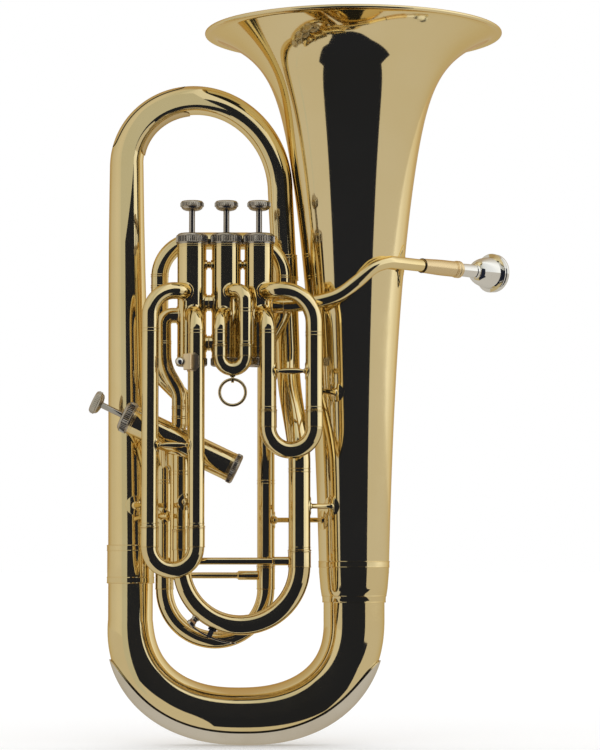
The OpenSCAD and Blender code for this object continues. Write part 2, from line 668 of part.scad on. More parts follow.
module piston_spring(i) {
  turns = 6;
  coil_r = barrel_r - 1.8;
  wire = 0.6;
  low = barrel_low(i) + guide_rise + guide_t + wire + 0.1;
  high = piston_top(i) - top_plate - wire - 0.1;
  rings = turns * 8;
  path = [for (k = [0 : rings]) let (a = 360 * k / 8)
    [coil_r * cos(a), coil_r * sin(a), mix(low, high, k / rings)]];
  sides = 6;
  color(steel) in_valve(i) polyhedron(
    points = [for (k = [0 : rings], j = [0 : sides - 1])
      path[k] + wire * turned(path, k, [0, 0, 1], 360 * j / sides)],
    faces = concat(
      [for (k = [0 : rings - 1], j = [0 : sides - 1]) let (l = (j + 1) % sides)
        [k * sides + j, (k + 1) * sides + j, (k + 1) * sides + l, k * sides + l]],
      [[for (j = [0 : sides - 1]) j]],
      [[for (j = [sides - 1 : -1 : 0]) rings * sides + j]]),
    convexity = 12);
}

module valve_links() {
  for (pair = [[0, 1], [1, 2]]) {
    xa = valve_x[pair[0]];
    xb = valve_x[pair[1]];
    for (link = [[link_high, 15], [link_low, 14], [valve_brace, 5]])
      color(brass) difference() {
        translate([xb, valve_y, valve_low + link[0]]) rotate([0, 90, 0])
          cylinder(h = xa - xb, d = link[1]);
        if (link[1] > 10) translate([xb, valve_y, valve_low + link[0]]) rotate([0, 90, 0])
          cylinder(h = xa - xb, d = link[1] - 2);
        for (x = [xa, xb]) translate([x, valve_y, valve_low + link[0] - 12])
          cylinder(h = 24, r = casing_r);
      }
  }
}

// ---- Slide sleeves and elbows ----

elbow_r = 18;
leg_d = slide_d - 2 * slide_wall - 2 * slide_clearance;
second_leg_d = second_slide_d - 2 * slide_wall - 2 * slide_clearance;
seam = 0.3;
first_ring_z = first_bow_z + 15;
second_ring_z = second_bow_z + 9.7;
third_ring_z = third_bow_z + 18;

module cut_casing(i) {
  difference() {
    children();
    in_valve(i) cylinder(h = valves[i], r = casing_r);
  }
}

module sleeve_ring(x, y, z, d) {
  translate([x, y, z]) difference() {
    cylinder(h = 2, d = d + 1);
    translate([0, 0, -1]) cylinder(h = 4, d = d);
  }
}

// Elbow from the front of casing i, down into a leg at x that ends at ring height z
module low_elbow(i, x, d, z) {
  reach = norm([x - valve_x[i], slide_y - valve_y]);
  head = atan2(x - valve_x[i], valve_y - slide_y);
  top = valve_low + front_low;
  cut_casing(i) translate([valve_x[i], valve_y, top]) rotate([0, 0, head]) rotate([90, 0, 0])
    tube([[reach - elbow_r], [elbow_r, 90, -90], [top - elbow_r - z]], d, slide_wall);
  sleeve_ring(x, slide_y, z, d);
}

// Tube from the front of casing i that turns sideways, then down to a joint above ring height z
module high_knuckle(i, x, d, out, small_r, large_r, joint, z) {
  turn = knuckle_turn[i];
  top = valve_low + front_high;
  path = rounded([[valve_x[i], valve_y, top],
    [valve_x[i] + out * sin(turn), valve_y - out * cos(turn), top],
    [x, slide_y, top], [x, slide_y, joint]], [0, small_r, large_r]);
  cut_casing(i) sweep(path, [for (p = path) d / 2], slide_wall, [0, 0, 1], 20);
  translate([x, slide_y, 0]) {
    pipe(joint - 3, joint + 1, d + 0.8, slide_wall + 0.75);
    pipe(z, joint - 1, d, slide_wall);
  }
  sleeve_ring(x, slide_y, z, d);
}

module first_slide_tubes() {
  color(brass) {
    high_knuckle(0, first_right_x, slide_d, 26.3, 13.5, 31.5, 394, first_ring_z);
    low_elbow(0, first_left_x, slide_d, first_ring_z);
  }
}

module second_slide_tubes() {
  color(brass) {
    high_knuckle(1, second_right_x, second_slide_d, 20.8, 9.5, 11, 416, second_ring_z);
    low_elbow(1, second_left_x, second_slide_d, second_ring_z);
  }
}

module third_slide_tubes() {
  color(brass) {
    high_knuckle(2, third_left_x, slide_d, 20, 13.5, 24.5, 397, third_ring_z);
    low_elbow(2, third_right_x, slide_d, third_ring_z);
  }
}

main_d = 16.8;
main_left_ring = main_bow_z + 33;
main_right_ring = main_bow_z + 13.7;
main_right_wall = 0.6;

module main_slide_tubes() {
  color(brass) {
    cut_casing(3) translate([main_left_x, valve_y, 0])
      pipe(main_left_ring, side_axis_z(main_left_x), main_d, slide_wall);
    sleeve_ring(main_left_x, valve_y, main_left_ring, main_d);
    translate([main_right_x, valve_y, 0]) pipe(main_right_ring, sleeve_top, descent_end_d, main_right_wall);
    sleeve_ring(main_right_x, valve_y, main_right_ring, descent_end_d);
  }
}

fourth_ring_z = fourth_bow_z + 21;
fourth_knee_z = fourth_ring_z + 79;
fourth_top_path = rounded([
    [fourth_left_x, fourth_y, fourth_knee_z],
    [fourth_left_x, fourth_y, side_axis_z(fourth_left_x) + valve_y - fourth_y],
    [fourth_left_x, valve_y, side_axis_z(fourth_left_x)]], [0, 16]);

module fourth_slide_tubes() {
  color(brass) {
    cut_casing(3)
      sweep(fourth_top_path, [for (i = fourth_top_path) fourth_d / 2], slide_wall, [1, 0, 0], 24);
    translate([fourth_left_x, fourth_y, 0])
      pipe(fourth_knee_z - 4, fourth_knee_z + 2, fourth_d + 1.2, slide_wall + 0.95);
    for (leg = [[fourth_left_x, fourth_knee_z - 1], [fourth_right_x, loop_low]]) {
      translate([leg[0], fourth_y, 0]) pipe(fourth_ring_z, leg[1], fourth_d, slide_wall);
      sleeve_ring(leg[0], fourth_y, fourth_ring_z, fourth_d);
    }
  }
}

outlet_x = -75.1;
outlet_corner = 8.8;
outlet_bend = 24;
outlet_bend_high = 352;
outlet_bend_low = 332;
outlet_path = rounded([
    [valve_x[2] - 8, valve_y, valve_low + outlet_high], [outlet_x, valve_y, valve_low + outlet_high],
    [outlet_x, valve_y, outlet_bend_high], [outlet_low_x, valve_y, outlet_bend_low],
    [outlet_low_x, valve_y, side_axis_z(outlet_low_x)]], [0, outlet_corner, outlet_bend, outlet_bend]);

module third_valve_outlet() {
  color(brass) cut_casing(3) cut_casing(2)
    sweep(outlet_path, [for (i = outlet_path) outlet_d / 2], slide_wall, [0, 1, 0], 20);
}

loop_y = -22.2;
// The loop leans back here, to pass behind the top caps
loop_top_y = -21.2;
loop_right_x = 39.2;
loop_left_x = -79.3;
loop_top = 484;
loop_corner = 35;
loop_low = 253;
loop_step_low = 386;
loop_step_high = 414;
loop_bend = 26;
loop_side_high = 355.5;
loop_side_low = 320.5;
loop_side_bend = 20;
loop_end_bend = 10;
// Loop of the fourth valve: up behind the first valve, over, and down behind the third
loop_path = rounded([
    [fourth_right_x, fourth_y, loop_low], [fourth_right_x, fourth_y, loop_step_low],
    [loop_right_x, loop_y, loop_step_high], [loop_right_x, loop_top_y, loop_top],
    [loop_left_x, loop_top_y, loop_top], [loop_left_x, loop_y, loop_side_high],
    [loop_in_x, loop_y, loop_side_low], [loop_in_x, loop_y, side_axis_z(loop_in_x)],
    [loop_in_x, valve_y, side_axis_z(loop_in_x)]],
    [0, loop_bend, loop_bend, loop_corner, loop_corner, loop_side_bend, loop_side_bend, loop_end_bend]);

module fourth_valve_loop() {
  color(brass) cut_casing(3)
    sweep(loop_path, [for (i = loop_path) fourth_d / 2], slide_wall, [0, 1, 0], 20);
}

// ---- Slides ----

// Slide of two legs in sleeves that end at height ring, and a bow below them
module slide(x, y, gap, z, ring, leg, d, insert) {
  wall = slide_wall;
  for (lx = [x, x + gap]) translate([lx, y, 0]) {
    pipe(z, ring + insert, leg, wall);
    pipe(z, ring - seam, d, (d - leg) / 2);
  }
  translate([x, y, z]) rotate([180, 0, 0]) bend(gap / 2, 180, d, (d - leg) / 2 + wall);
}

first_insert = 60;
second_insert = 14;
third_insert = 100;
fourth_insert = 60;

module first_valve_slide() {
  color(brass) slide(first_left_x, slide_y, leg_gap, first_bow_z, first_ring_z, leg_d, slide_d,
    first_insert);
}

lug_r = 3.3;
lug_hole_r = pull_wire_d / 2 + 0.6;
ring_hang = pull_wire_d / 2 + 1.9;
second_bow_low = second_bow_z - second_leg_gap / 2 - second_slide_d / 2;
pull_x = second_left_x + second_leg_gap / 2;
pull_z = second_bow_low - ring_hang;

module second_valve_slide() {
  color(brass) union() {
    slide(second_left_x, slide_y, second_leg_gap, second_bow_z, second_ring_z, second_leg_d,
      second_slide_d, second_insert);
    // Lug under the bow that the pull ring hangs in
    translate([pull_x, slide_y, pull_z]) rotate([0, 90, 0]) translate([0, 0, -1]) difference() {
      union() {
        cylinder(h = 2, r = lug_r);
        translate([-ring_hang - 0.8, -lug_r, 0]) cube([ring_hang + 0.8, 2 * lug_r, 2]);
      }
      translate([0, 0, -1]) cylinder(h = 4, r = lug_hole_r);
    }
  }
}

module pull_ring() {
  r = pull_ring_d / 2 - pull_wire_d / 2;
  color(brass) translate([pull_x, slide_y, pull_z - r]) rotate([90, 0, 0])
    rotate_extrude() translate([r, 0]) circle(d = pull_wire_d, $fn = 24);
}

module third_valve_slide() {
  color(brass) slide(third_left_x, slide_y, leg_gap, third_bow_z, third_ring_z, leg_d, slide_d,
    third_insert);
}

module fourth_valve_slide() {
  leg = fourth_d - 2 * slide_wall - 2 * slide_clearance;
  color(brass) union() {
    slide(fourth_left_x, fourth_y, fourth_leg_gap, fourth_bow_z, fourth_ring_z, leg, fourth_d,
      fourth_insert);
    translate([fourth_left_x + fourth_d / 2 - 1, fourth_y, fourth_bow_z + 13]) rotate([0, 90, 0])
      cylinder(h = fourth_leg_gap - fourth_d + 2, d = stay_d + 1.4);
  }
}

main_left_leg = main_d - 2 * slide_wall - 2 * slide_clearance;
main_right_leg = descent_end_d - 2 * main_right_wall - 2 * slide_clearance;
main_insert = 62;
main_mid_x = (main_left_x + main_right_x) / 2;
// Ferrules that join the bow to its legs
main_left_low = main_left_ring - 18;
main_right_low = main_right_ring - 15.2;
joint_lap = 2;
joint_wall = 1.1;
main_bow_path = concat([[main_left_x, valve_y, main_left_low + joint_lap]],
    [for (i = [0 : 16]) let (a = 180 * i / 16)
      [main_mid_x - main_leg_gap / 2 * cos(a), valve_y, main_bow_z - main_leg_gap / 2 * sin(a)]],
    [[main_right_x, valve_y, main_right_low + 2 * joint_lap]]);
main_bow_radii = concat([main_d / 2], [for (i = [0 : 16]) mix(main_d, descent_end_d, i / 16) / 2],
    [descent_end_d / 2]);
main_bow_wall = 0.75;
function main_bow_r(a) = mix(main_d, descent_end_d, a / 180) / 2;

module main_tuning_slide() {
  brace_z = main_bow_z + 4.6;
  color(brass) {
    sweep(main_bow_path, main_bow_radii, main_bow_wall, [0, 1, 0], 24);
    translate([main_left_x, valve_y, 0]) {
      pipe(main_left_low + 2 * joint_lap, main_left_ring + main_insert - 14, main_left_leg, slide_wall);
      pipe(main_left_low, main_left_ring - seam, main_d + 0.6, joint_wall + 0.3);
    }
    translate([main_right_x, valve_y, 0]) {
      pipe(main_right_low + 3 * joint_lap, main_right_ring + main_insert, main_right_leg, main_right_wall);
      pipe(main_right_low, main_right_ring - seam, descent_end_d + 0.6, joint_wall + 0.3);
    }
    difference() {
      translate([main_left_x, valve_y, brace_z]) rotate([0, 90, 0])
        cylinder(h = main_leg_gap, d = stay_d + 2.4);
      translate([main_left_x, valve_y, 0]) cylinder(h = 300, d = main_d - main_bow_wall);
      translate([main_right_x, valve_y, 0]) cylinder(h = 300, d = descent_end_d - main_bow_wall);
    }
  }
}

// ---- Water key ----

key_angle = 66;
cup_angle = 49.4;
key_reach = main_leg_gap / 2 + main_bow_r(key_angle) + 7;
cup_reach = main_leg_gap / 2 + main_bow_r(cup_angle);
function around_bow(a, reach) = [main_mid_x - reach * cos(a), valve_y, main_bow_z - reach * sin(a)];
key_pivot = around_bow(key_angle, key_reach);
pin_d = 2;

// Places its children at angle a round the main bow, with +Z pointing outwards
module off_bow(a, reach) {
  translate(around_bow(a, reach)) rotate([0, -90 - a, 0]) children();
}

module water_key_saddle() {
  foot = main_leg_gap / 2 + main_bow_r(key_angle) - 0.1;
  color(nickel) {
    difference() {
      off_bow(key_angle, foot) union() {
        translate([-4, -4.4, 0]) cube([8, 8.8, 2]);
        for (s = [-1, 1]) translate([0, s * 3.6, 0]) translate([-2.4, -0.8, 0]) cube([4.8, 1.6, 9]);
      }
      off_bow(key_angle, key_reach) rotate([90, 0, 0]) translate([0, 0, -6])
        cylinder(h = 12, d = pin_d);
      translate([main_mid_x, valve_y, main_bow_z]) rotate([90, 0, 0])
        rotate_extrude($fn = 96) translate([main_leg_gap / 2, 0]) circle(r = main_bow_r(key_angle) + 0.15);
    }
    off_bow(key_angle, key_reach) rotate([90, 0, 0]) translate([0, 0, -4.9])
      cylinder(h = 9.8, d = pin_d);
    // Nipple that the key closes
    difference() {
      off_bow(cup_angle, cup_reach - 1) cylinder(h = 4, d = 6.4);
      off_bow(cup_angle, cup_reach - 2) cylinder(h = 6, d = 3.4);
      translate([main_mid_x, valve_y, main_bow_z]) rotate([90, 0, 0])
        rotate_extrude($fn = 96) translate([main_leg_gap / 2, 0]) circle(r = main_bow_r(cup_angle) + 0.15);
    }
  }
}

cork_t = 2;
cup_gap = 0.1;

module water_key_cork() {
  color("#8a6b43") off_bow(cup_angle, cup_reach + 3 + cup_gap) cylinder(h = cork_t, d = 7);
}

module water_key() {
  back = cup_reach + 3 + cup_gap + cork_t;
  arm = key_reach + 0.4;
  color(nickel) difference() {
    union() {
      off_bow(cup_angle, back) cylinder(h = arm - back + 1, d = 8.6);
      off_bow(key_angle, key_reach) rotate([90, 0, 0]) translate([0, 0, -2.5])
        cylinder(h = 5, d = pin_d + 2.4);
      // Lever that follows the bow from the cup to the finger end
      translate([main_mid_x, valve_y + lever_w / 2, main_bow_z]) rotate([90, 0, 0])
        rotate([0, 0, 180 + cup_angle]) rotate_extrude(angle = 35, $fn = 180)
          translate([arm - 0.2, 0]) square([1.8, lever_w]);
      off_bow(cup_angle + 35, arm) cylinder(h = 1.8, d = 7.4);
    }
    off_bow(key_angle, key_reach) rotate([90, 0, 0]) translate([0, 0, -6])
      cylinder(h = 12, d = pin_d + 0.1);
  }
}

// ---- Stays and lyre socket ----

// Rod between points a and b
module rod(a, b, d) {
  v = b - a;
  translate(a) rotate([0, acos(v[2] / norm(v)), atan2(v[1], v[0])]) cylinder(h = norm(v), d = d);
}

module leg_cut(x, y, z, r) {
  translate([x, y, z - 30]) cylinder(h = 60, r = r);
}

module slide_stays() {
  color(brass) for (s = [[first_left_x, 355], [third_left_x, 285.3]]) difference() {
    rod([s[0], slide_y, s[1]], [s[0] + leg_gap, slide_y, s[1]], stay_d);
    for (x = [s[0], s[0] + leg_gap]) leg_cut(x, slide_y, s[1], slide_d / 2);
  }
}

// Each stay: start, end, and the upright tubes it is soldered to as [x, y, radius]
function bell_leg(z) = [bell_x, 0, bell_r(z)];
body_stay_list = [
    [[first_right_x, slide_y, 337], [bell_x, 0, 337], [first_right_x, slide_y, slide_d / 2], bell_leg(337)],
    [[main_right_x, valve_y, 228.6], [bell_x, -14, 228.6], [main_right_x, valve_y, descent_end_d / 2],
     bell_leg(228.6)],
    [[fourth_right_x, fourth_y, 215.6], [bell_x, fourth_y, 215.6], [fourth_right_x, fourth_y, fourth_d / 2],
     bell_leg(215.6)],
    [[branch_x - 0.6, 0, 229.5], [third_left_x, slide_y, 229.5], [branch_x - 0.6, 0, 21.3],
     [third_left_x, slide_y, slide_d / 2]],
    [[main_left_x, valve_y, 232.3], [third_right_x, slide_y, 232.3], [main_left_x, valve_y, main_d / 2],
     [third_right_x, slide_y, slide_d / 2]],
    [[third_left_x, slide_y, 219.1], [fourth_left_x, fourth_y, 219.1], [third_left_x, slide_y, slide_d / 2],
     [fourth_left_x, fourth_y, fourth_d / 2]]];

module body_stays() {
  color(brass) for (s = body_stay_list) difference() {
    rod(s[0], s[1], stay_d);
    for (leg = [s[2], s[3]]) leg_cut(leg[0], leg[1], s[0][2], leg[2]);
  }
}

lyre_len = 15;
lyre_x = third_right_x - 7.9;
lyre_y = slide_y - 11;
screw_x = lyre_x - 3.8;
screw_d = 3.2;

module lyre_socket() {
  color(gold) difference() {
    union() {
      translate([lyre_x - 3.8, lyre_y - 4.4, lyre_z - lyre_len / 2]) cube([7.6, 10, lyre_len]);
      translate([third_right_x, slide_y, lyre_z - 9]) cylinder(h = 18, d = slide_d + 1.4);
    }
    leg_cut(third_right_x, slide_y, lyre_z, slide_d / 2);
    translate([third_right_x - 2, slide_y - 3, lyre_z - 10]) cube([20, 20, 20]);
    translate([lyre_x, lyre_y, lyre_z - 9]) cylinder(h = 18, d = lyre_bore_d);
    translate([screw_x - 1, lyre_y, lyre_z + 1]) rotate([0, 90, 0]) cylinder(h = 3.8, d = screw_d + 0.1);
  }
}

module lyre_screw() {
  color(silver) translate([screw_x, lyre_y, lyre_z + 1]) union() {
    rotate([0, 90, 0]) translate([0, 0, -2]) cylinder(h = 3.4, d = screw_d);
    translate([-4.2, 0, 0]) rotate([0, 90, 0]) sphere(d = 8.6);
  }
}

translate([bell_x, 0, 0]) bell();
translate([bell_x, 0, 0]) bell_rim_wire();
translate([bell_x, 0, 0]) bell_ferrule();
bottom_bow();
bottom_bow_guard();
branch_ferrule();
top_bow();
top_bow_guard();
descending_ferrule();
descending_branch();
leadpipe();
mouthpiece_receiver();
mouthpiece();
valve_casing(0);  // valve_casing_1
valve_casing(1);  // valve_casing_2
valve_casing(2);  // valve_casing_3
valve_casing(3);  // valve_casing_4
valve_top_caps();
valve_bottom_caps();
valve_links();
valve_guides();
piston(0);  // piston_1
piston(1);  // piston_2
piston(2);  // piston_3
piston(3);  // piston_4
valve_stem(0);  // valve_stem_1
valve_stem(1);  // valve_stem_2
valve_stem(2);  // valve_stem_3
valve_stem(3);  // valve_stem_4
finger_button(0);  // finger_button_1
finger_button(1);  // finger_button_2
finger_button(2);  // finger_button_3
finger_button(3);  // finger_button_4
piston_spring(0);  // piston_spring_1
piston_spring(1);  // piston_spring_2
piston_spring(2);  // piston_spring_3
piston_spring(3);  // piston_spring_4
first_slide_tubes();
second_slide_tubes();
third_slide_tubes();
main_slide_tubes();
fourth_slide_tubes();
third_valve_outlet();
fourth_valve_loop();
first_valve_slide();
second_valve_slide();
third_valve_slide();
main_tuning_slide();
fourth_valve_slide();
pull_ring();
water_key();
water_key_saddle();
water_key_cork();
slide_stays();
body_stays();
lyre_socket();
lyre_screw();
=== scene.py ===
from math import asin, atan2, ceil, copysign, cos, degrees, exp, pi, radians, sin, sqrt, tan
import bpy, bmesh
from mathutils import Matrix, Vector


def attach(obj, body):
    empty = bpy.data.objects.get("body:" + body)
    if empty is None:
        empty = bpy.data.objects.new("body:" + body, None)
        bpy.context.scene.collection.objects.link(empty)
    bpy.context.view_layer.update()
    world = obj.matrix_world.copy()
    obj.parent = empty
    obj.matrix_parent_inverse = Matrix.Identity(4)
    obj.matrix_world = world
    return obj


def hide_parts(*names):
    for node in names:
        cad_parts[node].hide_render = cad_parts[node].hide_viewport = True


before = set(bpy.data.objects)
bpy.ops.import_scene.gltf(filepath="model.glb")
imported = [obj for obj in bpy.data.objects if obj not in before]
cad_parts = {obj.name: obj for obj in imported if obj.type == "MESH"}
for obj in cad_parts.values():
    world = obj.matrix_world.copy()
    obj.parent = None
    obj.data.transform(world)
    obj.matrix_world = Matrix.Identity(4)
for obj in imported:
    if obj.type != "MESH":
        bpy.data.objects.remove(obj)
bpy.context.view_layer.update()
print("frame loaded:", len(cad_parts), "solids")

# Lengths in this script are millimetres and become metres when a mesh is written.
milli = 0.001


# Small helpers
def mix(a, b, u):
    return a + (b - a) * u


def smoothStep(u):
    return u * u * (3 - 2 * u)


def upright(x, y, z=0.0):
    return Matrix.Translation((x, y, z))


def spin(angle, axis):
    return Matrix.Rotation(radians(angle), 4, axis)


def alongAxis(start, direction):
    # frame with its origin at start and +Z along direction
    turn = Vector((0, 0, 1)).rotation_difference(Vector(direction).normalized())
    return Matrix.Translation(Vector(start)) @ turn.to_matrix().to_4x4()


def roundedPath(corners, radii, step=5.0):
    # corner points joined by straight runs and arcs
    points = [Vector(corners[0])]
    for i in range(1, len(corners) - 1):
        here = Vector(corners[i])
        back = (Vector(corners[i - 1]) - here).normalized()
        ahead = (Vector(corners[i + 1]) - here).normalized()
        half = back.angle(ahead) / 2
        centre = here + (back + ahead).normalized() * radii[i - 1] / sin(half)
        a = here + back * radii[i - 1] / tan(half) - centre
        b = here + ahead * radii[i - 1] / tan(half) - centre
        arc = pi - 2 * half
        count = max(3, ceil(degrees(arc) / step))
        for k in range(count + 1):
            u = k / count
            points.append(centre + (a * sin(arc * (1 - u)) + b * sin(arc * u)) / sin(arc))
    points.append(Vector(corners[-1]))
    return points


def arcPath(centre, radius, start, end, count):
    # arc in the XZ plane: angle 0 points to -X, 90 degrees points to +Z
    points = []
    for k in range(count + 1):
        a = radians(mix(start, end, k / count))
        points.append(Vector((centre[0] - radius * cos(a), centre[1], centre[2] + radius * sin(a))))
    return points


def lengthsAlong(points):
    total, out = 0.0, [0.0]
    for a, b in zip(points, points[1:]):
        total += (Vector(b) - Vector(a)).length
        out.append(total)
    return [s / total for s in out]


def shifted(radius, height, profile):
    # profile measured from an edge of that radius and height
    return [(radius + r, height + z) for r, z in profile]


def mirrored(half):
    return half + [(r, -z) for r, z in reversed(half)]


# Node trees
def newNode(tree, kind, inputs=None, **settings):
    # adds a node; inputs holds plain values and sockets to link
    item = tree.nodes.new(kind)
    for label, value in settings.items():
        setattr(item, label, value)
    for label, value in (inputs or {}).items():
        if isinstance(value, bpy.types.NodeSocket):
            tree.links.new(value, item.inputs[label])
        else:
            item.inputs[label].default_value = value
    return item


def newTree(name, kind, inputs, outputs):
    tree = bpy.data.node_groups.new(name, kind)
    for label, sort, value in inputs:
        socket = tree.interface.new_socket(label, in_out="INPUT", socket_type="NodeSocket" + sort)
        if value is not None:
            socket.default_value = value
    for label, sort in outputs:
        tree.interface.new_socket(label, in_out="OUTPUT", socket_type="NodeSocket" + sort)
    return tree, tree.nodes.new("NodeGroupInput").outputs, tree.nodes.new("NodeGroupOutput").inputs


def newGeometryTree(name, inputs):
    inputs = [("Geometry", "Geometry", None)] + inputs + [("Material", "Material", None)]
    return newTree(name, "GeometryNodeTree", inputs, [("Geometry", "Geometry")])


def finishTree(tree, source, entry, result):
    whole = newNode(tree, "GeometryNodeRealizeInstances", {0: source.outputs[0]})
    paint = newNode(tree, "GeometryNodeSetMaterial", {"Geometry": whole.outputs[0], "Material": entry["Material"]})
    tree.links.new(paint.outputs[0], result[0])


def buildTubeTree():
    # round tube along every line of the path mesh, as thick as its tubeRadius attribute
    tree, entry, result = newGeometryTree("tubeAlongPath", [("Sides", "Int", 48)])
    curve = newNode(tree, "GeometryNodeMeshToCurve", {"Mesh": entry["Geometry"]})
    straight = newNode(tree, "GeometryNodeSetCurveNormal", {"Curve": curve.outputs[0]})
    radius = newNode(tree, "GeometryNodeInputNamedAttribute", {"Name": "tubeRadius"}, data_type="FLOAT")
    profile = newNode(tree, "GeometryNodeCurvePrimitiveCircle", {"Resolution": entry["Sides"], "Radius": 1.0})
    sweep = newNode(tree, "GeometryNodeCurveToMesh", {
        "Curve": straight.outputs[0], "Profile Curve": profile.outputs["Curve"], "Scale": radius.outputs["Attribute"]})
    finishTree(tree, sweep, entry, result)
    return tree


def buildKnurlTree():
    # upright ribs round a ring, one ridge of each pointing outwards
    tree, entry, result = newGeometryTree("knurledBand", [
        ("Count", "Int", 60), ("Radius", "Float", 0.015), ("Height", "Float", 0.004), ("Rib", "Float", 0.001)])
    ring = newNode(tree, "GeometryNodeMeshCircle", {"Vertices": entry["Count"], "Radius": entry["Radius"]})
    size = newNode(tree, "ShaderNodeCombineXYZ", {"X": entry["Rib"], "Y": entry["Rib"], "Z": entry["Height"]})
    rib = newNode(tree, "GeometryNodeMeshCube", {"Size": size.outputs[0]})
    quarter = newNode(tree, "GeometryNodeTransform", {"Geometry": rib.outputs["Mesh"], "Rotation": (0, 0, radians(45))})
    place = newNode(tree, "GeometryNodeInputPosition")
    face = newNode(tree, "FunctionNodeAlignRotationToVector", {"Vector": place.outputs[0]}, axis="X", pivot_axis="Z")
    copies = newNode(tree, "GeometryNodeInstanceOnPoints", {
        "Points": ring.outputs["Mesh"], "Instance": quarter.outputs[0], "Rotation": face.outputs[0]})
    finishTree(tree, copies, entry, result)
    return tree


tubeTree = buildTubeTree()
knurlTree = buildKnurlTree()


def setInput(modifier, label, value):
    for item in modifier.node_group.interface.items_tree:
        if item.item_type == "SOCKET" and item.in_out == "INPUT" and item.name == label:
            modifier[item.identifier] = value
            return
    raise KeyError(label)


def evaluated(holder):
    bpy.context.view_layer.update()
    graph = bpy.context.evaluated_depsgraph_get()
    mesh = bpy.data.meshes.new_from_object(holder.evaluated_get(graph))
    holder.modifiers.clear()
    source = holder.data
    bpy.data.objects.remove(holder)
    bpy.data.meshes.remove(source)
    return mesh


def newObject(name, mesh):
    item = bpy.data.objects.new(name, mesh)
    bpy.context.scene.collection.objects.link(item)
    return item


def modifierWith(holder, kind, **settings):
    extra = holder.modifiers.new(kind.lower(), kind)
    for label, value in settings.items():
        setattr(extra, label, value)
    return extra


def meshFrom(bm, name):
    mesh = bpy.data.meshes.new(name)
    bm.to_mesh(mesh)
    bm.free()
    return mesh


def inMetres(place):
    matrix = place.copy()
    matrix.translation *= milli
    return matrix


def bridge(bm, rows):
    # quads between neighbouring closed rows of vertices
    for low, high in zip(rows, rows[1:]):
        for k in range(len(low)):
            l = (k + 1) % len(low)
            bm.faces.new((low[k], low[l], high[l], high[k]))


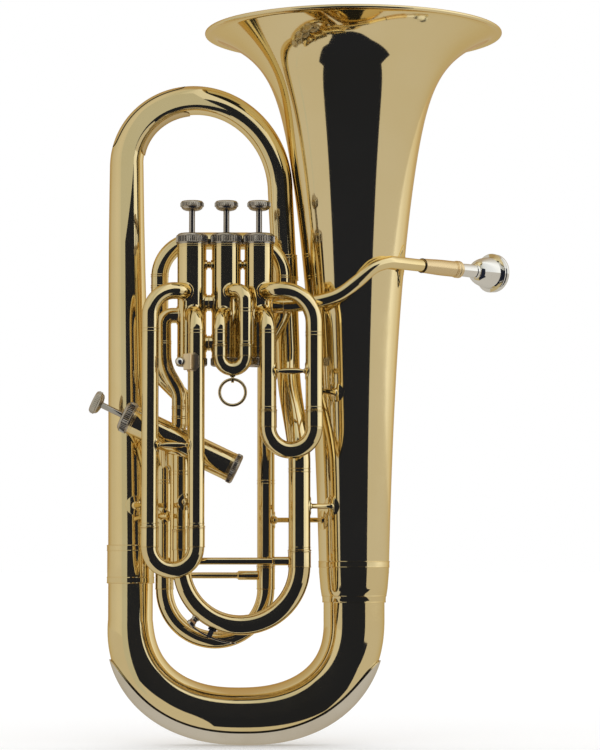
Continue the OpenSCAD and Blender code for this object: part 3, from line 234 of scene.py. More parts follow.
# Collects the shapes of one piece; keep() writes them as one mesh.
class Piece:
    def __init__(self, name, material, body="horn_body", nodes=(), slot="tube_brass"):
        self.name, self.material, self.body, self.nodes, self.slot = name, material, body, nodes, slot
        self.bm = bmesh.new()

    def addMesh(self, mesh, matrix=None):
        if matrix:
            mesh.transform(matrix)
        self.bm.from_mesh(mesh)
        bpy.data.meshes.remove(mesh)

    def addShape(self, bm, place=None):
        bmesh.ops.recalc_face_normals(bm, faces=bm.faces)
        self.addMesh(meshFrom(bm, self.name), place and inMetres(place))

    def turned(self, profile, place, segments=64, closed=True):
        # profile of (radius, height) turned about the place's Z axis; an open one has its ends on the axis
        bm = bmesh.new()
        turns = [2 * pi * k / segments for k in range(segments)]
        rings = [[bm.verts.new((radius * cos(a) * milli, radius * sin(a) * milli, height * milli))
                  for a in (turns if radius > 1e-6 else [0])] for radius, height in profile]
        for low, high in list(zip(rings, rings[1:])) + ([(rings[-1], rings[0])] if closed else []):
            for k in range(segments if len(low) + len(high) > 2 else 0):
                l = (k + 1) % segments
                if len(low) == 1:
                    bm.faces.new((low[0], high[l], high[k]))
                elif len(high) == 1:
                    bm.faces.new((low[k], low[l], high[0]))
                else:
                    bm.faces.new((low[k], low[l], high[l], high[k]))
        self.addShape(bm, place)

    def ring(self, place, height, radius, bead=0.45, proud=0.35, segments=64):
        # thin soldered line round a tube
        half = [(radius + proud * sin(pi * k / 4), height - bead * cos(pi * k / 4)) for k in range(5)]
        self.turned([(radius - 0.3, height - bead)] + half + [(radius - 0.3, height + bead)], place, segments)

    def saddleRing(self, place, across, profile, segments=56):
        # ring of (radius, height) that lies on a round tube of radius across; X runs along that tube
        bm = bmesh.new()
        rings = []
        # a ring nearly as wide as the tube is bent round it, a smaller one stands straight up
        bent = max(radius for radius, height in profile) > 0.9 * across
        for radius, height in profile:
            row = []
            for k in range(segments):
                a = 2 * pi * k / segments
                side = radius * sin(a)
                turn = side / across if bent else asin(side / (across + height))
                row.append(bm.verts.new((radius * cos(a) * milli, (across + height) * sin(turn) * milli,
                                         (across + height) * cos(turn) * milli)))
            rings.append(row)
        bridge(bm, rings + rings[:1])
        self.addShape(bm, place)

    def flange(self, place, across, radius, hole, thick=0.8):
        # thin soldered foot with a fine step round its edge
        edge = 0.25
        self.saddleRing(place, across, [
            (hole, -0.4), (radius, -0.4), (radius, thick * 0.55), (radius - edge, thick * 0.8),
            (radius - 0.9, thick * 0.8), (radius - 1.1, thick), (hole, thick)])

    def collar(self, place, low, high, radius, wall=0.9, segments=64, lines=(0.0,)):
        # short sleeve with softened edges, and lines at distances from both its ends
        edge = 0.25
        self.turned([(radius, low + edge), (radius, high - edge), (radius - edge, high), (radius - wall, high),
                     (radius - wall, low), (radius - edge, low)], place, segments)
        for gap in lines:
            for height in {low + gap + 0.3, high - gap - 0.3}:
                self.ring(place, height, radius, segments=segments)

    def seam(self, place, height, radius, gap=2.9, proud=0.5):
        # two fine soldered lines side by side
        for z in (height - gap / 2, height + gap / 2):
            self.ring(place, z, radius, bead=0.42, proud=proud)

    def tubes(self, runs, wall=0.5, sides=48):
        # runs: list of (points, radius or list of radii)
        verts, edges, radii = [], [], []
        for points, radius in runs:
            first = len(verts)
            verts += [Vector(p) * milli for p in points]
            edges += [(first + i, first + i + 1) for i in range(len(points) - 1)]
            radii += [r * milli for r in (radius if isinstance(radius, list) else [radius] * len(points))]
        path = bpy.data.meshes.new(self.name + "Path")
        path.from_pydata(verts, edges, [])
        path.attributes.new("tubeRadius", "FLOAT", "POINT").data.foreach_set("value", radii)
        holder = newObject(self.name + "Path", path)
        nodes = modifierWith(holder, "NODES", node_group=tubeTree)
        setInput(nodes, "Sides", sides)
        setInput(nodes, "Material", self.material)
        modifierWith(holder, "SOLIDIFY", thickness=wall * milli, offset=-1)
        mesh = evaluated(holder)
        if meshIsInside(mesh):
            mesh.flip_normals()
        self.addMesh(mesh)

    def knurl(self, place, height, radius, tall, count, rib):
        holder = newObject("knurlSeed", bpy.data.meshes.new("knurlSeed"))
        nodes = modifierWith(holder, "NODES", node_group=knurlTree)
        for label, value in (("Count", count), ("Radius", radius * milli), ("Height", tall * milli),
                             ("Rib", rib * milli), ("Material", self.material)):
            setInput(nodes, label, value)
        self.addMesh(evaluated(holder), inMetres(place) @ upright(0, 0, height * milli))

    def block(self, size, place, bevel=0.4):
        bm = bmesh.new()
        bmesh.ops.create_cube(bm, size=1.0, matrix=Matrix.Diagonal((*[s * milli for s in size], 1.0)))
        bmesh.ops.bevel(bm, geom=bm.edges[:], offset=bevel * milli, segments=2, affect="EDGES", profile=0.6)
        self.addShape(bm, place)

    def keep(self, sharp=38):
        mesh = meshFrom(self.bm, self.name)
        mesh.materials.clear()
        mesh.materials.append(self.material)
        mesh.polygons.foreach_set("material_index", [0] * len(mesh.polygons))
        mesh.polygons.foreach_set("use_smooth", [True] * len(mesh.polygons))
        mesh.set_sharp_from_angle(angle=radians(sharp))
        piece = newObject(self.name, mesh)
        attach(piece, self.body)
        if self.nodes:
            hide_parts(*self.nodes)


def meshIsInside(mesh):
    # signed volume tells whether the faces point inwards
    mesh.calc_loop_triangles()
    corners = ([mesh.vertices[i].co for i in t.vertices] for t in mesh.loop_triangles)
    return sum(a.dot(b.cross(c)) for a, b, c in corners) < 0


# Finishes
def buildFinishGroup():
    # hand-polished metal: slow colour drift, wiping marks, fine scratches and slight waviness
    group, entry, result = newTree("polishedMetal", "ShaderNodeTree", [
        ("Color", "Color", (0.8, 0.8, 0.8, 1)), ("Aged Color", "Color", (0.6, 0.6, 0.6, 1)),
        ("Roughness", "Float", 0.1), ("Smudge", "Float", 0.04), ("Scratch", "Float", 0.03), ("Wave", "Float", 0.02),
        ("Size", "Float", 1.0)],
        [("Color", "Color"), ("Roughness", "Float"), ("Normal", "Vector")])
    place = newNode(group, "ShaderNodeTexCoord").outputs["Object"]
    streaks = newNode(group, "ShaderNodeMapping", {
        "Vector": place, "Scale": (1.0, 14.0, 1.2), "Rotation": (0.3, 0.5, 0.2)}).outputs[0]

    def noise(scale, detail, vector=place):
        size = newNode(group, "ShaderNodeMath", {0: entry["Size"], 1: scale}, operation="MULTIPLY").outputs[0]
        return newNode(group, "ShaderNodeTexNoise", {"Vector": vector, "Scale": size, "Detail": detail}).outputs["Fac"]

    def span(value, low, high):
        return newNode(group, "ShaderNodeMapRange", {"Value": value, "From Min": low, "From Max": high},
                       interpolation_type="SMOOTHSTEP").outputs[0]

    blend = newNode(group, "ShaderNodeMix", {
        0: span(noise(9.0, 3.0), 0.42, 0.78), 6: entry["Color"], 7: entry["Aged Color"]}, data_type="RGBA")
    total = entry["Roughness"]
    for value, amount in ((span(noise(26.0, 5.0), 0.48, 0.72), "Smudge"),
                          (span(noise(60.0, 2.0, streaks), 0.6, 0.75), "Scratch")):
        total = newNode(group, "ShaderNodeMath", {0: value, 1: entry[amount], 2: total},
                        operation="MULTIPLY_ADD").outputs[0]
    bump = newNode(group, "ShaderNodeBump", {"Distance": 0.001, "Strength": entry["Wave"], "Height": noise(30.0, 1.0)})
    for source, label in ((blend.outputs[2], "Color"), (total, "Roughness"), (bump.outputs[0], "Normal")):
        group.links.new(source, result[label])
    return group


finishGroup = buildFinishGroup()

finishes = {
    # name: colour, aged colour, edge tint, roughness, smudge, scratch, wave, size of marks, lacquer
    "bellBrass": ((0.90, 0.765, 0.46), (0.875, 0.73, 0.41), (0.86, 0.72, 0.44), 0.06, 0.02, 0.012, 0.03, 1.0, 0.16),
    "tubeBrass": ((0.88, 0.735, 0.42), (0.85, 0.69, 0.36), (0.82, 0.66, 0.36), 0.06, 0.03, 0.03, 0.04, 1.6, 0.16),
    "guardBrass": ((0.70, 0.55, 0.31), (0.64, 0.49, 0.26), (0.66, 0.50, 0.28), 0.10, 0.04, 0.04, 0.03, 2.0, 0.1),
    "lyreBrass": ((0.88, 0.72, 0.48), (0.84, 0.68, 0.43), (0.86, 0.68, 0.42), 0.3, 0.02, 0.01, 0.0, 1.5, 0.0),
    "satinBrass": ((0.82, 0.66, 0.40), (0.80, 0.635, 0.375), (0.80, 0.63, 0.36), 0.27, 0.02, 0.01, 0.0, 1.5, 0.1),
    "nickelSilver": ((0.80, 0.76, 0.68), (0.72, 0.67, 0.57), (0.80, 0.76, 0.68), 0.10, 0.05, 0.06, 0.04, 2.0, 0.1),
    "capNickel": ((0.58, 0.535, 0.47), (0.50, 0.45, 0.38), (0.58, 0.53, 0.47), 0.22, 0.06, 0.04, 0.0, 4.0, 0.0),
    "stemNickel": ((0.50, 0.47, 0.435), (0.42, 0.39, 0.35), (0.52, 0.48, 0.44), 0.10, 0.04, 0.04, 0.0, 4.0, 0.0),
    "darkNickel": ((0.60, 0.57, 0.51), (0.48, 0.45, 0.38), (0.60, 0.56, 0.50), 0.15, 0.06, 0.05, 0.02, 4.0, 0.0),
    "brightSilver": ((0.86, 0.86, 0.84), (0.80, 0.79, 0.76), (0.86, 0.86, 0.85), 0.06, 0.03, 0.02, 0.01, 3.0, 0.0),
    "pistonMetal": ((0.70, 0.69, 0.66), (0.60, 0.59, 0.55), (0.70, 0.69, 0.66), 0.20, 0.06, 0.10, 0.01, 5.0, 0.0),
    "springSteel": ((0.55, 0.56, 0.57), (0.45, 0.45, 0.45), (0.56, 0.56, 0.57), 0.28, 0.06, 0.05, 0.01, 6.0, 0.0),
    # solder lines, near-black and darker than real solder: the dark is painted shade in the joints they line
    "solderWithPaintedShade": ((0.13, 0.10, 0.065), (0.09, 0.07, 0.045), (0.15, 0.12, 0.08), 0.40, 0.08, 0.05, 0.02, 8.0, 0.0),
}


def newMaterial(name):
    material = bpy.data.materials.new(name)
    material.use_nodes = True
    return material, material.node_tree, material.node_tree.nodes["Principled BSDF"]


def metalMaterial(name):
    colour, aged, edge, rough, smudge, scratch, wave, size, lacquer = finishes[name]
    material, tree, shader = newMaterial(name)
    for label, value in (("Metallic", 1.0), ("Coat Weight", lacquer), ("Coat Roughness", 0.04),
                         ("Specular Tint", (*edge, 1))):
        shader.inputs[label].default_value = value
    finish = newNode(tree, "ShaderNodeGroup", {
        "Color": (*colour, 1), "Aged Color": (*aged, 1), "Roughness": rough, "Smudge": smudge, "Scratch": scratch,
        "Wave": wave, "Size": size}, node_tree=finishGroup)
    for label, target in (("Color", "Base Color"), ("Roughness", "Roughness"), ("Normal", "Normal")):
        tree.links.new(finish.outputs[label], shader.inputs[target])
    return material


def softMaterial(name, colour, dark, scale, rough):
    # cork and guide plastic: speckled colour with a matching bump
    material, tree, shader = newMaterial(name)
    shader.inputs["Roughness"].default_value = rough
    place = newNode(tree, "ShaderNodeTexCoord").outputs["Object"]
    grain = newNode(tree, "ShaderNodeTexNoise", {"Vector": place, "Scale": scale, "Detail": 6}).outputs["Fac"]
    blend = newNode(tree, "ShaderNodeMix", {0: grain, 6: (*colour, 1), 7: (*dark, 1)}, data_type="RGBA")
    bump = newNode(tree, "ShaderNodeBump", {"Distance": 0.0003, "Strength": 0.5, "Height": grain})
    tree.links.new(blend.outputs[2], shader.inputs["Base Color"])
    tree.links.new(bump.outputs[0], shader.inputs["Normal"])
    return material


(bellBrass, tubeBrass, guardBrass, lyreBrass, satinBrass, nickelSilver, capNickel, stemNickel, darkNickel,
 brightSilver, pistonMetal, springSteel, solderWithPaintedShade) = [metalMaterial(name) for name in finishes]
corkFinish = softMaterial("waterKeyCork", (0.42, 0.25, 0.12), (0.20, 0.10, 0.045), 900, 0.85)
plasticFinish = softMaterial("guidePlastic", (0.80, 0.79, 0.75), (0.70, 0.69, 0.64), 400, 0.45)
print("finishes built:", len(finishes) + 2)


# Bell
bellSizes = {
    "x": 107.6, "top": 690.5, "rimRadius": 144.6, "throat": 28.05, "longFlare": 59.05, "longLength": 222.4,
    "shortLength": 23.7, "wall": 0.7, "bead": 1.9, "joint": 156.5, "jointRadius": 32.9, "jointBore": 32.2,
    "ferruleTop": 176.4, "flareStart": 600, "beadStart": 687.6, "segments": 192,
}


def bellRadius(z):
    rest = bellSizes["rimRadius"] - bellSizes["throat"] - bellSizes["longFlare"]
    down = z - bellSizes["top"]
    return (bellSizes["throat"] + bellSizes["longFlare"] * exp(down / bellSizes["longLength"])
            + rest * exp(down / bellSizes["shortLength"]))


def makeBell():
    s = bellSizes
    place, ferruleTop = upright(s["x"], 0), s["ferruleTop"]
    piece = Piece("bellSheet", bellBrass, nodes=("bell",), slot="bell_brass")
    levels = [mix(ferruleTop, s["flareStart"], i / 44) for i in range(45)]
    levels += [mix(s["flareStart"], s["beadStart"], smoothStep(i / 40) * 0.35 + i / 40 * 0.65) for i in range(1, 41)]
    outer = [(s["jointRadius"], z) for z in (s["joint"], ferruleTop)] + [(bellRadius(z), z) for z in levels]
    bead = [(s["rimRadius"] - s["bead"] + s["bead"] * cos(a), s["top"] - s["bead"] + s["bead"] * sin(a))
            for a in (radians(d) for d in range(-112, 141, 12))]
    inner = []
    for z in reversed(levels):
        slope = (bellRadius(z + 0.05) - bellRadius(z - 0.05)) / 0.1
        steep = sqrt(1 + slope ** 2)
        inner.append((bellRadius(z) - s["wall"] / steep, z + s["wall"] * slope / steep))
    inner += [(s["jointBore"], z) for z in (ferruleTop, s["joint"])]
    piece.turned(outer + bead + inner, place, segments=s["segments"])
    piece.keep(sharp=50)

    ferrule = Piece("bellFerrule", tubeBrass, nodes=("bell_ferrule",))
    top = bellRadius(ferruleTop) + 0.3
    ferrule.turned([
        (33.0, 176.4), (top - 0.3, 176.4), (top, 176.1), (top, 170.6), (top - 0.35, 170.3), (top - 0.5, 165),
        (32.4, 150), (31.3, 143.3), (31.0, 143.0), (30.8, 142.7), (30.5, 136.9), (30.2, 136.6), (29.5, 136.6),
        (29.5, 156)], place, segments=128)
    for z, radius in ((175.9, top - 0.1), (170.6, top - 0.25), (142.9, 30.95), (137.1, 30.4)):
        ferrule.ring(place, z, radius, bead=0.5, proud=0.45, segments=128)
    ferrule.keep()


makeBell()
print("bell done")


# Bottom bow, branches and top bow
bowSizes = {
    "bell": 107.6, "branch": -107.6, "shoulder": 119.7, "low": 28.512, "square": 2.3, "wall": 0.9,
    "smallRadius": 21.5, "largeRadius": 29.4, "smallEnd": 173.4, "largeEnd": 156.5,
    # left branch, top bow and descending branch: radii at their joints, then their places
    "branchRadius": 21.7, "topRadius": 16.3, "downRadius": 12.1, "endRadius": 10.4, "narrowing": 192.9,
    "topZ": 560.8, "rise": 75.9, "lean": 5.3, "leanZ": 452.1, "descentX": 36.4, "descentZ": 534.3, "jointX": 40.4,
    "jointZ": 459.5, "kneeX": 43.9, "kneeZ": 380.0, "endX": 55.1, "endY": -45.0, "endZ": 264.0,
    # guards: first and last step (of 26 round the bottom bow, of 16 round the top one), rows, columns, half angle
    # at both ends, swell between them and its power, lift, thickness, bevel
    "bottomGuard": (5.1, 20.95, 88, 36, 5, 51, 5, 0.3, 1.48, 0.45),
    "topGuard": (1.02, 6.98, 48, 24, 20, 21.5, 7, 0.2, 0.88, 0.3),
}


def bowPoint(a):
    s = bowSizes
    c, d = cos(a), sin(a)
    power = 2 / s["square"]
    return Vector((-s["bell"] * copysign(abs(c) ** power, c), 0,
                   s["shoulder"] - (s["shoulder"] - s["low"]) * abs(d) ** power))


def bowRadius(u):
    return mix(bowSizes["smallRadius"], bowSizes["largeRadius"], max(u, 0) ** 0.6)


def topPoint(a):
    s = bowSizes
    left = s["branch"] - s["lean"]
    middle, half = (left + s["descentX"]) / 2, (s["descentX"] - left) / 2
    return Vector((middle - half * cos(a), 0, mix(s["topZ"], s["descentZ"], a / pi) + s["rise"] * sin(a)))


def topRadius(u):
    return mix(bowSizes["topRadius"], bowSizes["downRadius"], u ** 0.8)


def makeBottomBow():
    s = bowSizes
    angles = [pi / 2 * (1 - cos(pi * i / 96)) for i in range(97)]
    points = [Vector((s["branch"], 0, s["smallEnd"]))] + [bowPoint(a) for a in angles]
    points.append(Vector((s["bell"], 0, s["largeEnd"])))
    radii = [s["smallRadius"]] + [bowRadius(a / pi) for a in angles] + [s["largeRadius"]]
    piece = Piece("bottomBow", tubeBrass, nodes=("bottom_bow",))
    piece.tubes([(points, radii)], wall=s["wall"], sides=96)
    piece.keep(sharp=50)


def plateFromGrid(piece, grid, centre, thick, bevel):
    # sheet through the rows of points, thickened away from centre, with soft edges
    bm = bmesh.new()
    grid = [[bm.verts.new(p * milli) for p in row] for row in grid]
    for a, b in zip(grid, grid[1:]):
        for k in range(len(a) - 1):
            bm.faces.new((a[k], a[k + 1], b[k + 1], b[k]))
    mesh = meshFrom(bm, piece.name + "Plate")
    middle = mesh.polygons[len(mesh.polygons) // 2]
    if middle.normal.dot(middle.center - centre * milli) < 0:
        mesh.flip_normals()
    holder = newObject(piece.name + "Plate", mesh)
    modifierWith(holder, "SOLIDIFY", thickness=thick * milli, offset=1)
    modifierWith(holder, "BEVEL", width=bevel * milli, segments=3, limit_method="ANGLE", angle_limit=radians(50))
    piece.addMesh(evaluated(holder))


def guardPlate(piece, sizes, angleAt, pointAt, radiusAt):
    # curved plate along a bow, bent round its outer side; gives its rows' (point, tube radius, half angle)
    first, last, count, columns, least, swell, power, lift, thick, bevel = sizes
    rows, grid = [], []
    for i in range(count + 1):
        a = angleAt(mix(first, last, i / count))
        half = least + swell * sqrt(max(1 - abs(2 * i / count - 1) ** power, 0))
        rows.append((pointAt(a), radiusAt(a / pi), half))
    for i, (p, r, half) in enumerate(rows):
        tangent = (rows[min(i + 1, count)][0] - rows[max(i - 1, 0)][0]).normalized()
        outward = Vector((0, 1, 0)).cross(tangent).normalized()
        turns = [radians(mix(-half, half, k / columns)) for k in range(columns + 1)]
        grid.append([p + (r + lift) * (outward * cos(a) + Vector((0, 1, 0)) * sin(a)) for a in turns])
    plateFromGrid(piece, grid, rows[len(rows) // 2][0], thick, bevel)
    return rows


def makeGuards():
    s = bowSizes
    bottom = Piece("bottomGuard", nickelSilver, nodes=("bottom_bow_guard",), slot="nickel_silver")
    guardPlate(bottom, s["bottomGuard"], lambda t: pi / 2 * (1 - cos(pi * t / 26)), bowPoint, bowRadius)
    bottom.keep()
    top = Piece("topBowGuard", guardBrass, nodes=("top_bow_guard",))
    rows = guardPlate(top, s["topGuard"], lambda t: t * pi / 16, topPoint, topRadius)
    top.keep()
    # solder bead along the top guard's edge; its near-black colour is painted shade in the gap between plate and tube
    line = Piece("topGuardSolderShade", solderWithPaintedShade, slot="tube_brass")
    centre = Vector((s["branch"] * 0.5 + s["descentX"] * 0.5, 0, 555))
    edge = []
    for p, r, half in rows:
        turn = radians(half + 1.2)
        edge.append(p + (r + 0.25) * ((p - centre).normalized() * cos(turn) + Vector((0, -1, 0)) * sin(turn)))
    line.tubes([(edge, 0.42)], wall=0.3, sides=12)
    line.keep()


def smoothCurve(guides, count):
    # Catmull-Rom curve through the guides, the first and last of which only steer it
    points = []
    for i in range(1, len(guides) - 2):
        a, b, c, d = (Vector(g) for g in guides[i - 1:i + 3])
        for k in range(count):
            u = k / count
            points.append(0.5 * (2 * b + (c - a) * u + (2 * a - 5 * b + 4 * c - d) * u * u
                                 + (3 * b - a - 3 * c + d) * u ** 3))
    points.append(Vector(guides[-2]))
    return points


def makeBranches():
    s = bowSizes
    arc = [topPoint(pi * i / 96) for i in range(97)]
    straight = [Vector((s["branch"], 0, z)) for z in (s["smallEnd"], 180, 186, 193)]
    bend = Vector((s["branch"] - s["lean"] * 0.85, 0, s["leanZ"]))
    up = straight + smoothCurve([*straight[-2:], bend, arc[0], arc[3]], 16)[1:-1]
    joint = Vector((s["jointX"], 0, s["jointZ"]))
    down = [arc[-1].lerp(joint, i / 6) for i in range(1, 7)]
    reach = s["topZ"] - s["narrowing"]
    radii = [mix(s["branchRadius"], s["topRadius"], min(max((p.z - s["narrowing"]) / reach, 0), 1)) for p in up]
    radii += [topRadius(i / 96) for i in range(97)] + [s["downRadius"]] * 6
    piece = Piece("topBow", tubeBrass, nodes=("top_bow",))
    piece.tubes([(up + arc + down, radii)], wall=s["wall"], sides=72)
    piece.keep(sharp=50)

    sleeve = Piece("branchFerrule", tubeBrass, nodes=("branch_ferrule",))
    place = upright(s["branch"], 0)
    sleeve.turned([
        (21.8, 154.9), (22.5, 154.9), (22.8, 155.2), (22.8, 160.4), (22.55, 160.7), (22.55, 186.2), (22.8, 186.5),
        (22.8, 191.6), (22.5, 191.9), (21.8, 191.9)], place, segments=112)
    for z in (155.5, 160.7, 186.5, 191.3):
        sleeve.ring(place, z, 22.6, bead=0.5, proud=0.5, segments=112)
    sleeve.keep()

    tilt = atan2(s["jointX"] - s["descentX"], s["descentZ"] - s["jointZ"])
    place = upright(*joint) @ Matrix.Rotation(-tilt, 4, "Y")
    sleeve = Piece("descendingFerrule", tubeBrass, nodes=("descending_ferrule",))
    sleeve.turned(mirrored([(12.3, -12.5), (12.8, -12.5), (13.0, -12.3)]), place, segments=72)
    for z in (-12.0, -9.4, 9.4, 12.0):
        sleeve.ring(place, z, 12.95, proud=0.4, segments=72)
    sleeve.keep()

    points = [joint, joint.lerp(Vector((s["kneeX"], 0, s["kneeZ"])), 0.5)]
    for i in range(61):
        e = smoothStep(i / 60)
        points.append(Vector((mix(s["kneeX"], s["endX"], e ** 1.3), mix(0, s["endY"], e),
                              mix(s["kneeZ"], s["endZ"] + 4, i / 60))))
    points.append(Vector((s["endX"], s["endY"], s["endZ"])))
    branch = Piece("descendingBranch", tubeBrass, nodes=("descending_branch",))
    radii = [mix(s["downRadius"], s["endRadius"], u) for u in lengthsAlong(points)]
    branch.tubes([(points, radii)], wall=s["wall"], sides=64)
    branch.keep(sharp=50)


makeBottomBow()
makeGuards()
makeBranches()
print("bows and branches done")


# Valves
valveSizes = {
    "x": (16.5, -14.7, -47.5), "y": -45.0, "low": 361.2, "height": 127.2, "sideHeight": 121.0,
    "sideLow": (-4.0, -45.0, 262.7), "tilt": 25.6, "casing": 13.8, "bore": 12.2, "topCap": 15.3, "topCapHeight": 10.6,
    "bottomCap": 14.9, "bottomCapHeight": 8.1, "sideCapHeight": 6.0, "stem": 2.85, "reach": 20.6, "button": 11.3,
    "ribs": 48,
}


def valveFrame(i):
    s = valveSizes
    if i < 3:
        return upright(s["x"][i], s["y"], s["low"])
    return Matrix.Translation(Vector(s["sideLow"])) @ spin(s["tilt"] - 90, "Y")


def portFrame(i, height, angle):
    # +Z leaves the casing at that height and direction, X runs along the casing
    return valveFrame(i) @ upright(0, 0, height) @ spin(angle, "Z") @ spin(90, "Y")


def sideAt(x):
    return (valveSizes["sideLow"][0] - x) / cos(radians(valveSizes["tilt"]))


def sideAxisZ(x):
    return valveSizes["sideLow"][2] + (valveSizes["sideLow"][0] - x) * tan(radians(valveSizes["tilt"]))


# for each valve: height, direction and tube radius of every tube that meets the casing
casingPorts = [
    [(70.8, -56, 8.0), (48.8, -72.4, 8.0), (60.7, 180, 7.5), (22.2, 180, 7.0), (97.1, 180, 2.5), (57.8, 0, 6.8)],
    [(70.8, -67, 6.6), (48.8, -100.5, 6.6), (60.7, 180, 7.5), (22.2, 180, 7.0), (97.1, 180, 2.5),
     (60.7, 0, 7.5), (22.2, 0, 7.0), (97.1, 0, 2.5)],
    [(70.8, -123, 8.0), (48.8, -79.1, 8.0), (60.7, 0, 7.5), (22.2, 0, 7.0), (97.1, 0, 2.5), (48.7, 180, 7.3)],
    [(sideAt(-55.8), 180, 8.4), (sideAt(-59), 0, 7.3), (sideAt(-74.4), 135, 8.3), (sideAt(-44.5), 90, 8.3)],
]


def makeValve(i):
    s = valveSizes
    place = valveFrame(i)
    height, r = valveHeight(i), s["casing"]
    casing = Piece("valveCasing%d" % (i + 1), tubeBrass, nodes=("valve_casing_%d" % (i + 1),))
    casing.turned([(s["bore"], 1.5), (r, 1.5), (r, height - 3.8), (s["bore"], height - 3.8)], place, segments=96)
    # thin turned bands above and below the tubes
    for z in (lowLip(i) + 0.9, lowLip(i) + 2.3, height - 13.0, height - 11.5):
        casing.ring(place, z, r, bead=0.4, proud=0.28, segments=96)
    for high, angle, tube in casingPorts[i]:
        casing.flange(portFrame(i, high, angle), r, tube + 1.5, tube - 0.6, 0.8)
    casing.keep()


def valveHeight(i):
    return valveSizes["height"] if i < 3 else valveSizes["sideHeight"]


def lowLip(i):
    # the side valve's bottom cap is the lower one
    return valveSizes["bottomCapHeight"] if i < 3 else valveSizes["sideCapHeight"]


def makeCaps():
    s = valveSizes
    top = Piece("valveTopCaps", capNickel, nodes=("valve_top_caps",), slot="dark_nickel")
    low = Piece("valveBottomCaps", capNickel, nodes=("valve_bottom_caps",), slot="dark_nickel")
    for i in range(4):
        place, height, high = valveFrame(i), valveHeight(i), lowLip(i)
        base, lip = height - s["topCapHeight"], s["topCap"] - 0.7
        profile = [(13.9, base)] + shifted(lip, base, [(-0.7, 0), (-0.4, 0.3), (-0.4, 1.1), (0, 1.5)])
        profile += shifted(lip, height, [(0, -3.0), (-0.3, -2.0), (-1.3, -0.7), (-2.4, -0.1), (-3.2, -0.5)])
        profile += shifted(0, height, [
            (5.2, -0.5), (4.6, 0), (3.3, 0), (3.3, -1.5), (13.5, -1.5), (13.5, -3.8), (13.9, -3.8)])
        top.turned(profile, place, segments=96)
        top.knurl(place, height - 5.9, s["topCap"] - 0.95, 5.4, s["ribs"], 1.3)
        for z, radius in ((base + 1.6, lip), (height - 2.6, lip - 0.05)):
            top.ring(place, z, radius, bead=0.5, proud=0.6, segments=96)
        lip = s["bottomCap"] - 0.6
        low.turned([(0, 0.4), (4.0, 0.4), (4.6, 0), (lip - 1.4, 0), (lip - 0.5, 0.4), (lip, 1.1), (lip, high - 0.3),
                    (lip - 0.3, high), (13.9, high), (13.9, 1.5), (0, 1.5)], place, segments=96, closed=False)
        low.knurl(place, (high + 1.1) / 2, s["bottomCap"] - 0.85, high - 2.7, s["ribs"], 1.15)
        for z in (1.3, high - 0.7):
            low.ring(place, z, lip, proud=0.5, segments=96)
    top.keep(sharp=30)
    low.keep(sharp=30)


def makeStem(i):
    s = valveSizes
    place, height, stemRadius = valveFrame(i), valveHeight(i), s["stem"]
    start, z, lip = height - 1.5 - 0.6, height + s["reach"], s["button"] - 0.45
    body = "valve_%d" % (i + 1)
    stem = Piece("valveStem%d" % (i + 1), stemNickel, body, ("valve_stem_%d" % (i + 1),), "dark_nickel")
    stem.turned([(0, start - 1.6), (1.95, start - 1.6), (1.95, start), (stemRadius, start), (stemRadius, z + 3),
                 (0, z + 3)], place, segments=48, closed=False)
    stem.keep()
    button = Piece("fingerButton%d" % (i + 1), capNickel, body, ("finger_button_%d" % (i + 1),), "dark_nickel")
    profile = shifted(stemRadius, z, [(0.05, 3), (0.05, 1.1), (1.4, 1.1)])
    profile += [(mix(stemRadius + 1.4, lip - 0.7, sin(a)), z + mix(1.3, 4.7, 1 - cos(a)))
                for a in (radians(d) for d in range(10, 91, 10))]
    profile += shifted(lip, z, [(0, 5.1), (0, 8.9), (-0.4, 9.7), (-1.2, 10.4), (-2.0, 10.6), (-3.0, 10.3), (-3.8, 9.8)])
    button.turned(profile + shifted(0, z, [(3, 9.6), (0, 9.6), (0, 3)]), place, segments=80)
    button.knurl(place, z + 7.0, s["button"] - 0.75, 3.5, 40, 1.05)
    button.keep(sharp=30)


def makeLinks():
    s = valveSizes
    piece = Piece("valveLinks", tubeBrass, nodes=("valve_links",))
    for left, right in ((1, 0), (2, 1)):
        xa, xb = s["x"][left] + s["casing"], s["x"][right] - s["casing"]
        for z, radius in ((421.9, 7.5), (383.4, 7.0)):
            reach = s["casing"] - sqrt(s["casing"] ** 2 - radius ** 2) + 0.3
            piece.tubes([([(xa - reach, s["y"], z), (xb + reach, s["y"], z)], radius)], wall=0.8, sides=40)
            piece.ring(upright(0, s["y"], z) @ spin(90, "Y"), (xa + xb) / 2, radius, bead=0.5, proud=0.5)
        # turned spacer: round feet on both casings, a ball between them
        gap = xb - xa
        place = upright(xa, s["y"], 458.3) @ spin(90, "Y")
        half = [(0, -2.4), (4.7, -2.4), (4.8, 0.4), (4.3, 1.0), (3.0, 1.2), (2.6, gap * 0.3), (3.3, gap * 0.38),
                (3.6, gap * 0.5)]
        piece.turned(half + [(r, gap - z) for r, z in reversed(half[:-1])], place, segments=40, closed=False)
    piece.keep(sharp=50)


for number in range(4):
    makeValve(number)
    makeStem(number)
makeCaps()
makeLinks()
print("valves done")


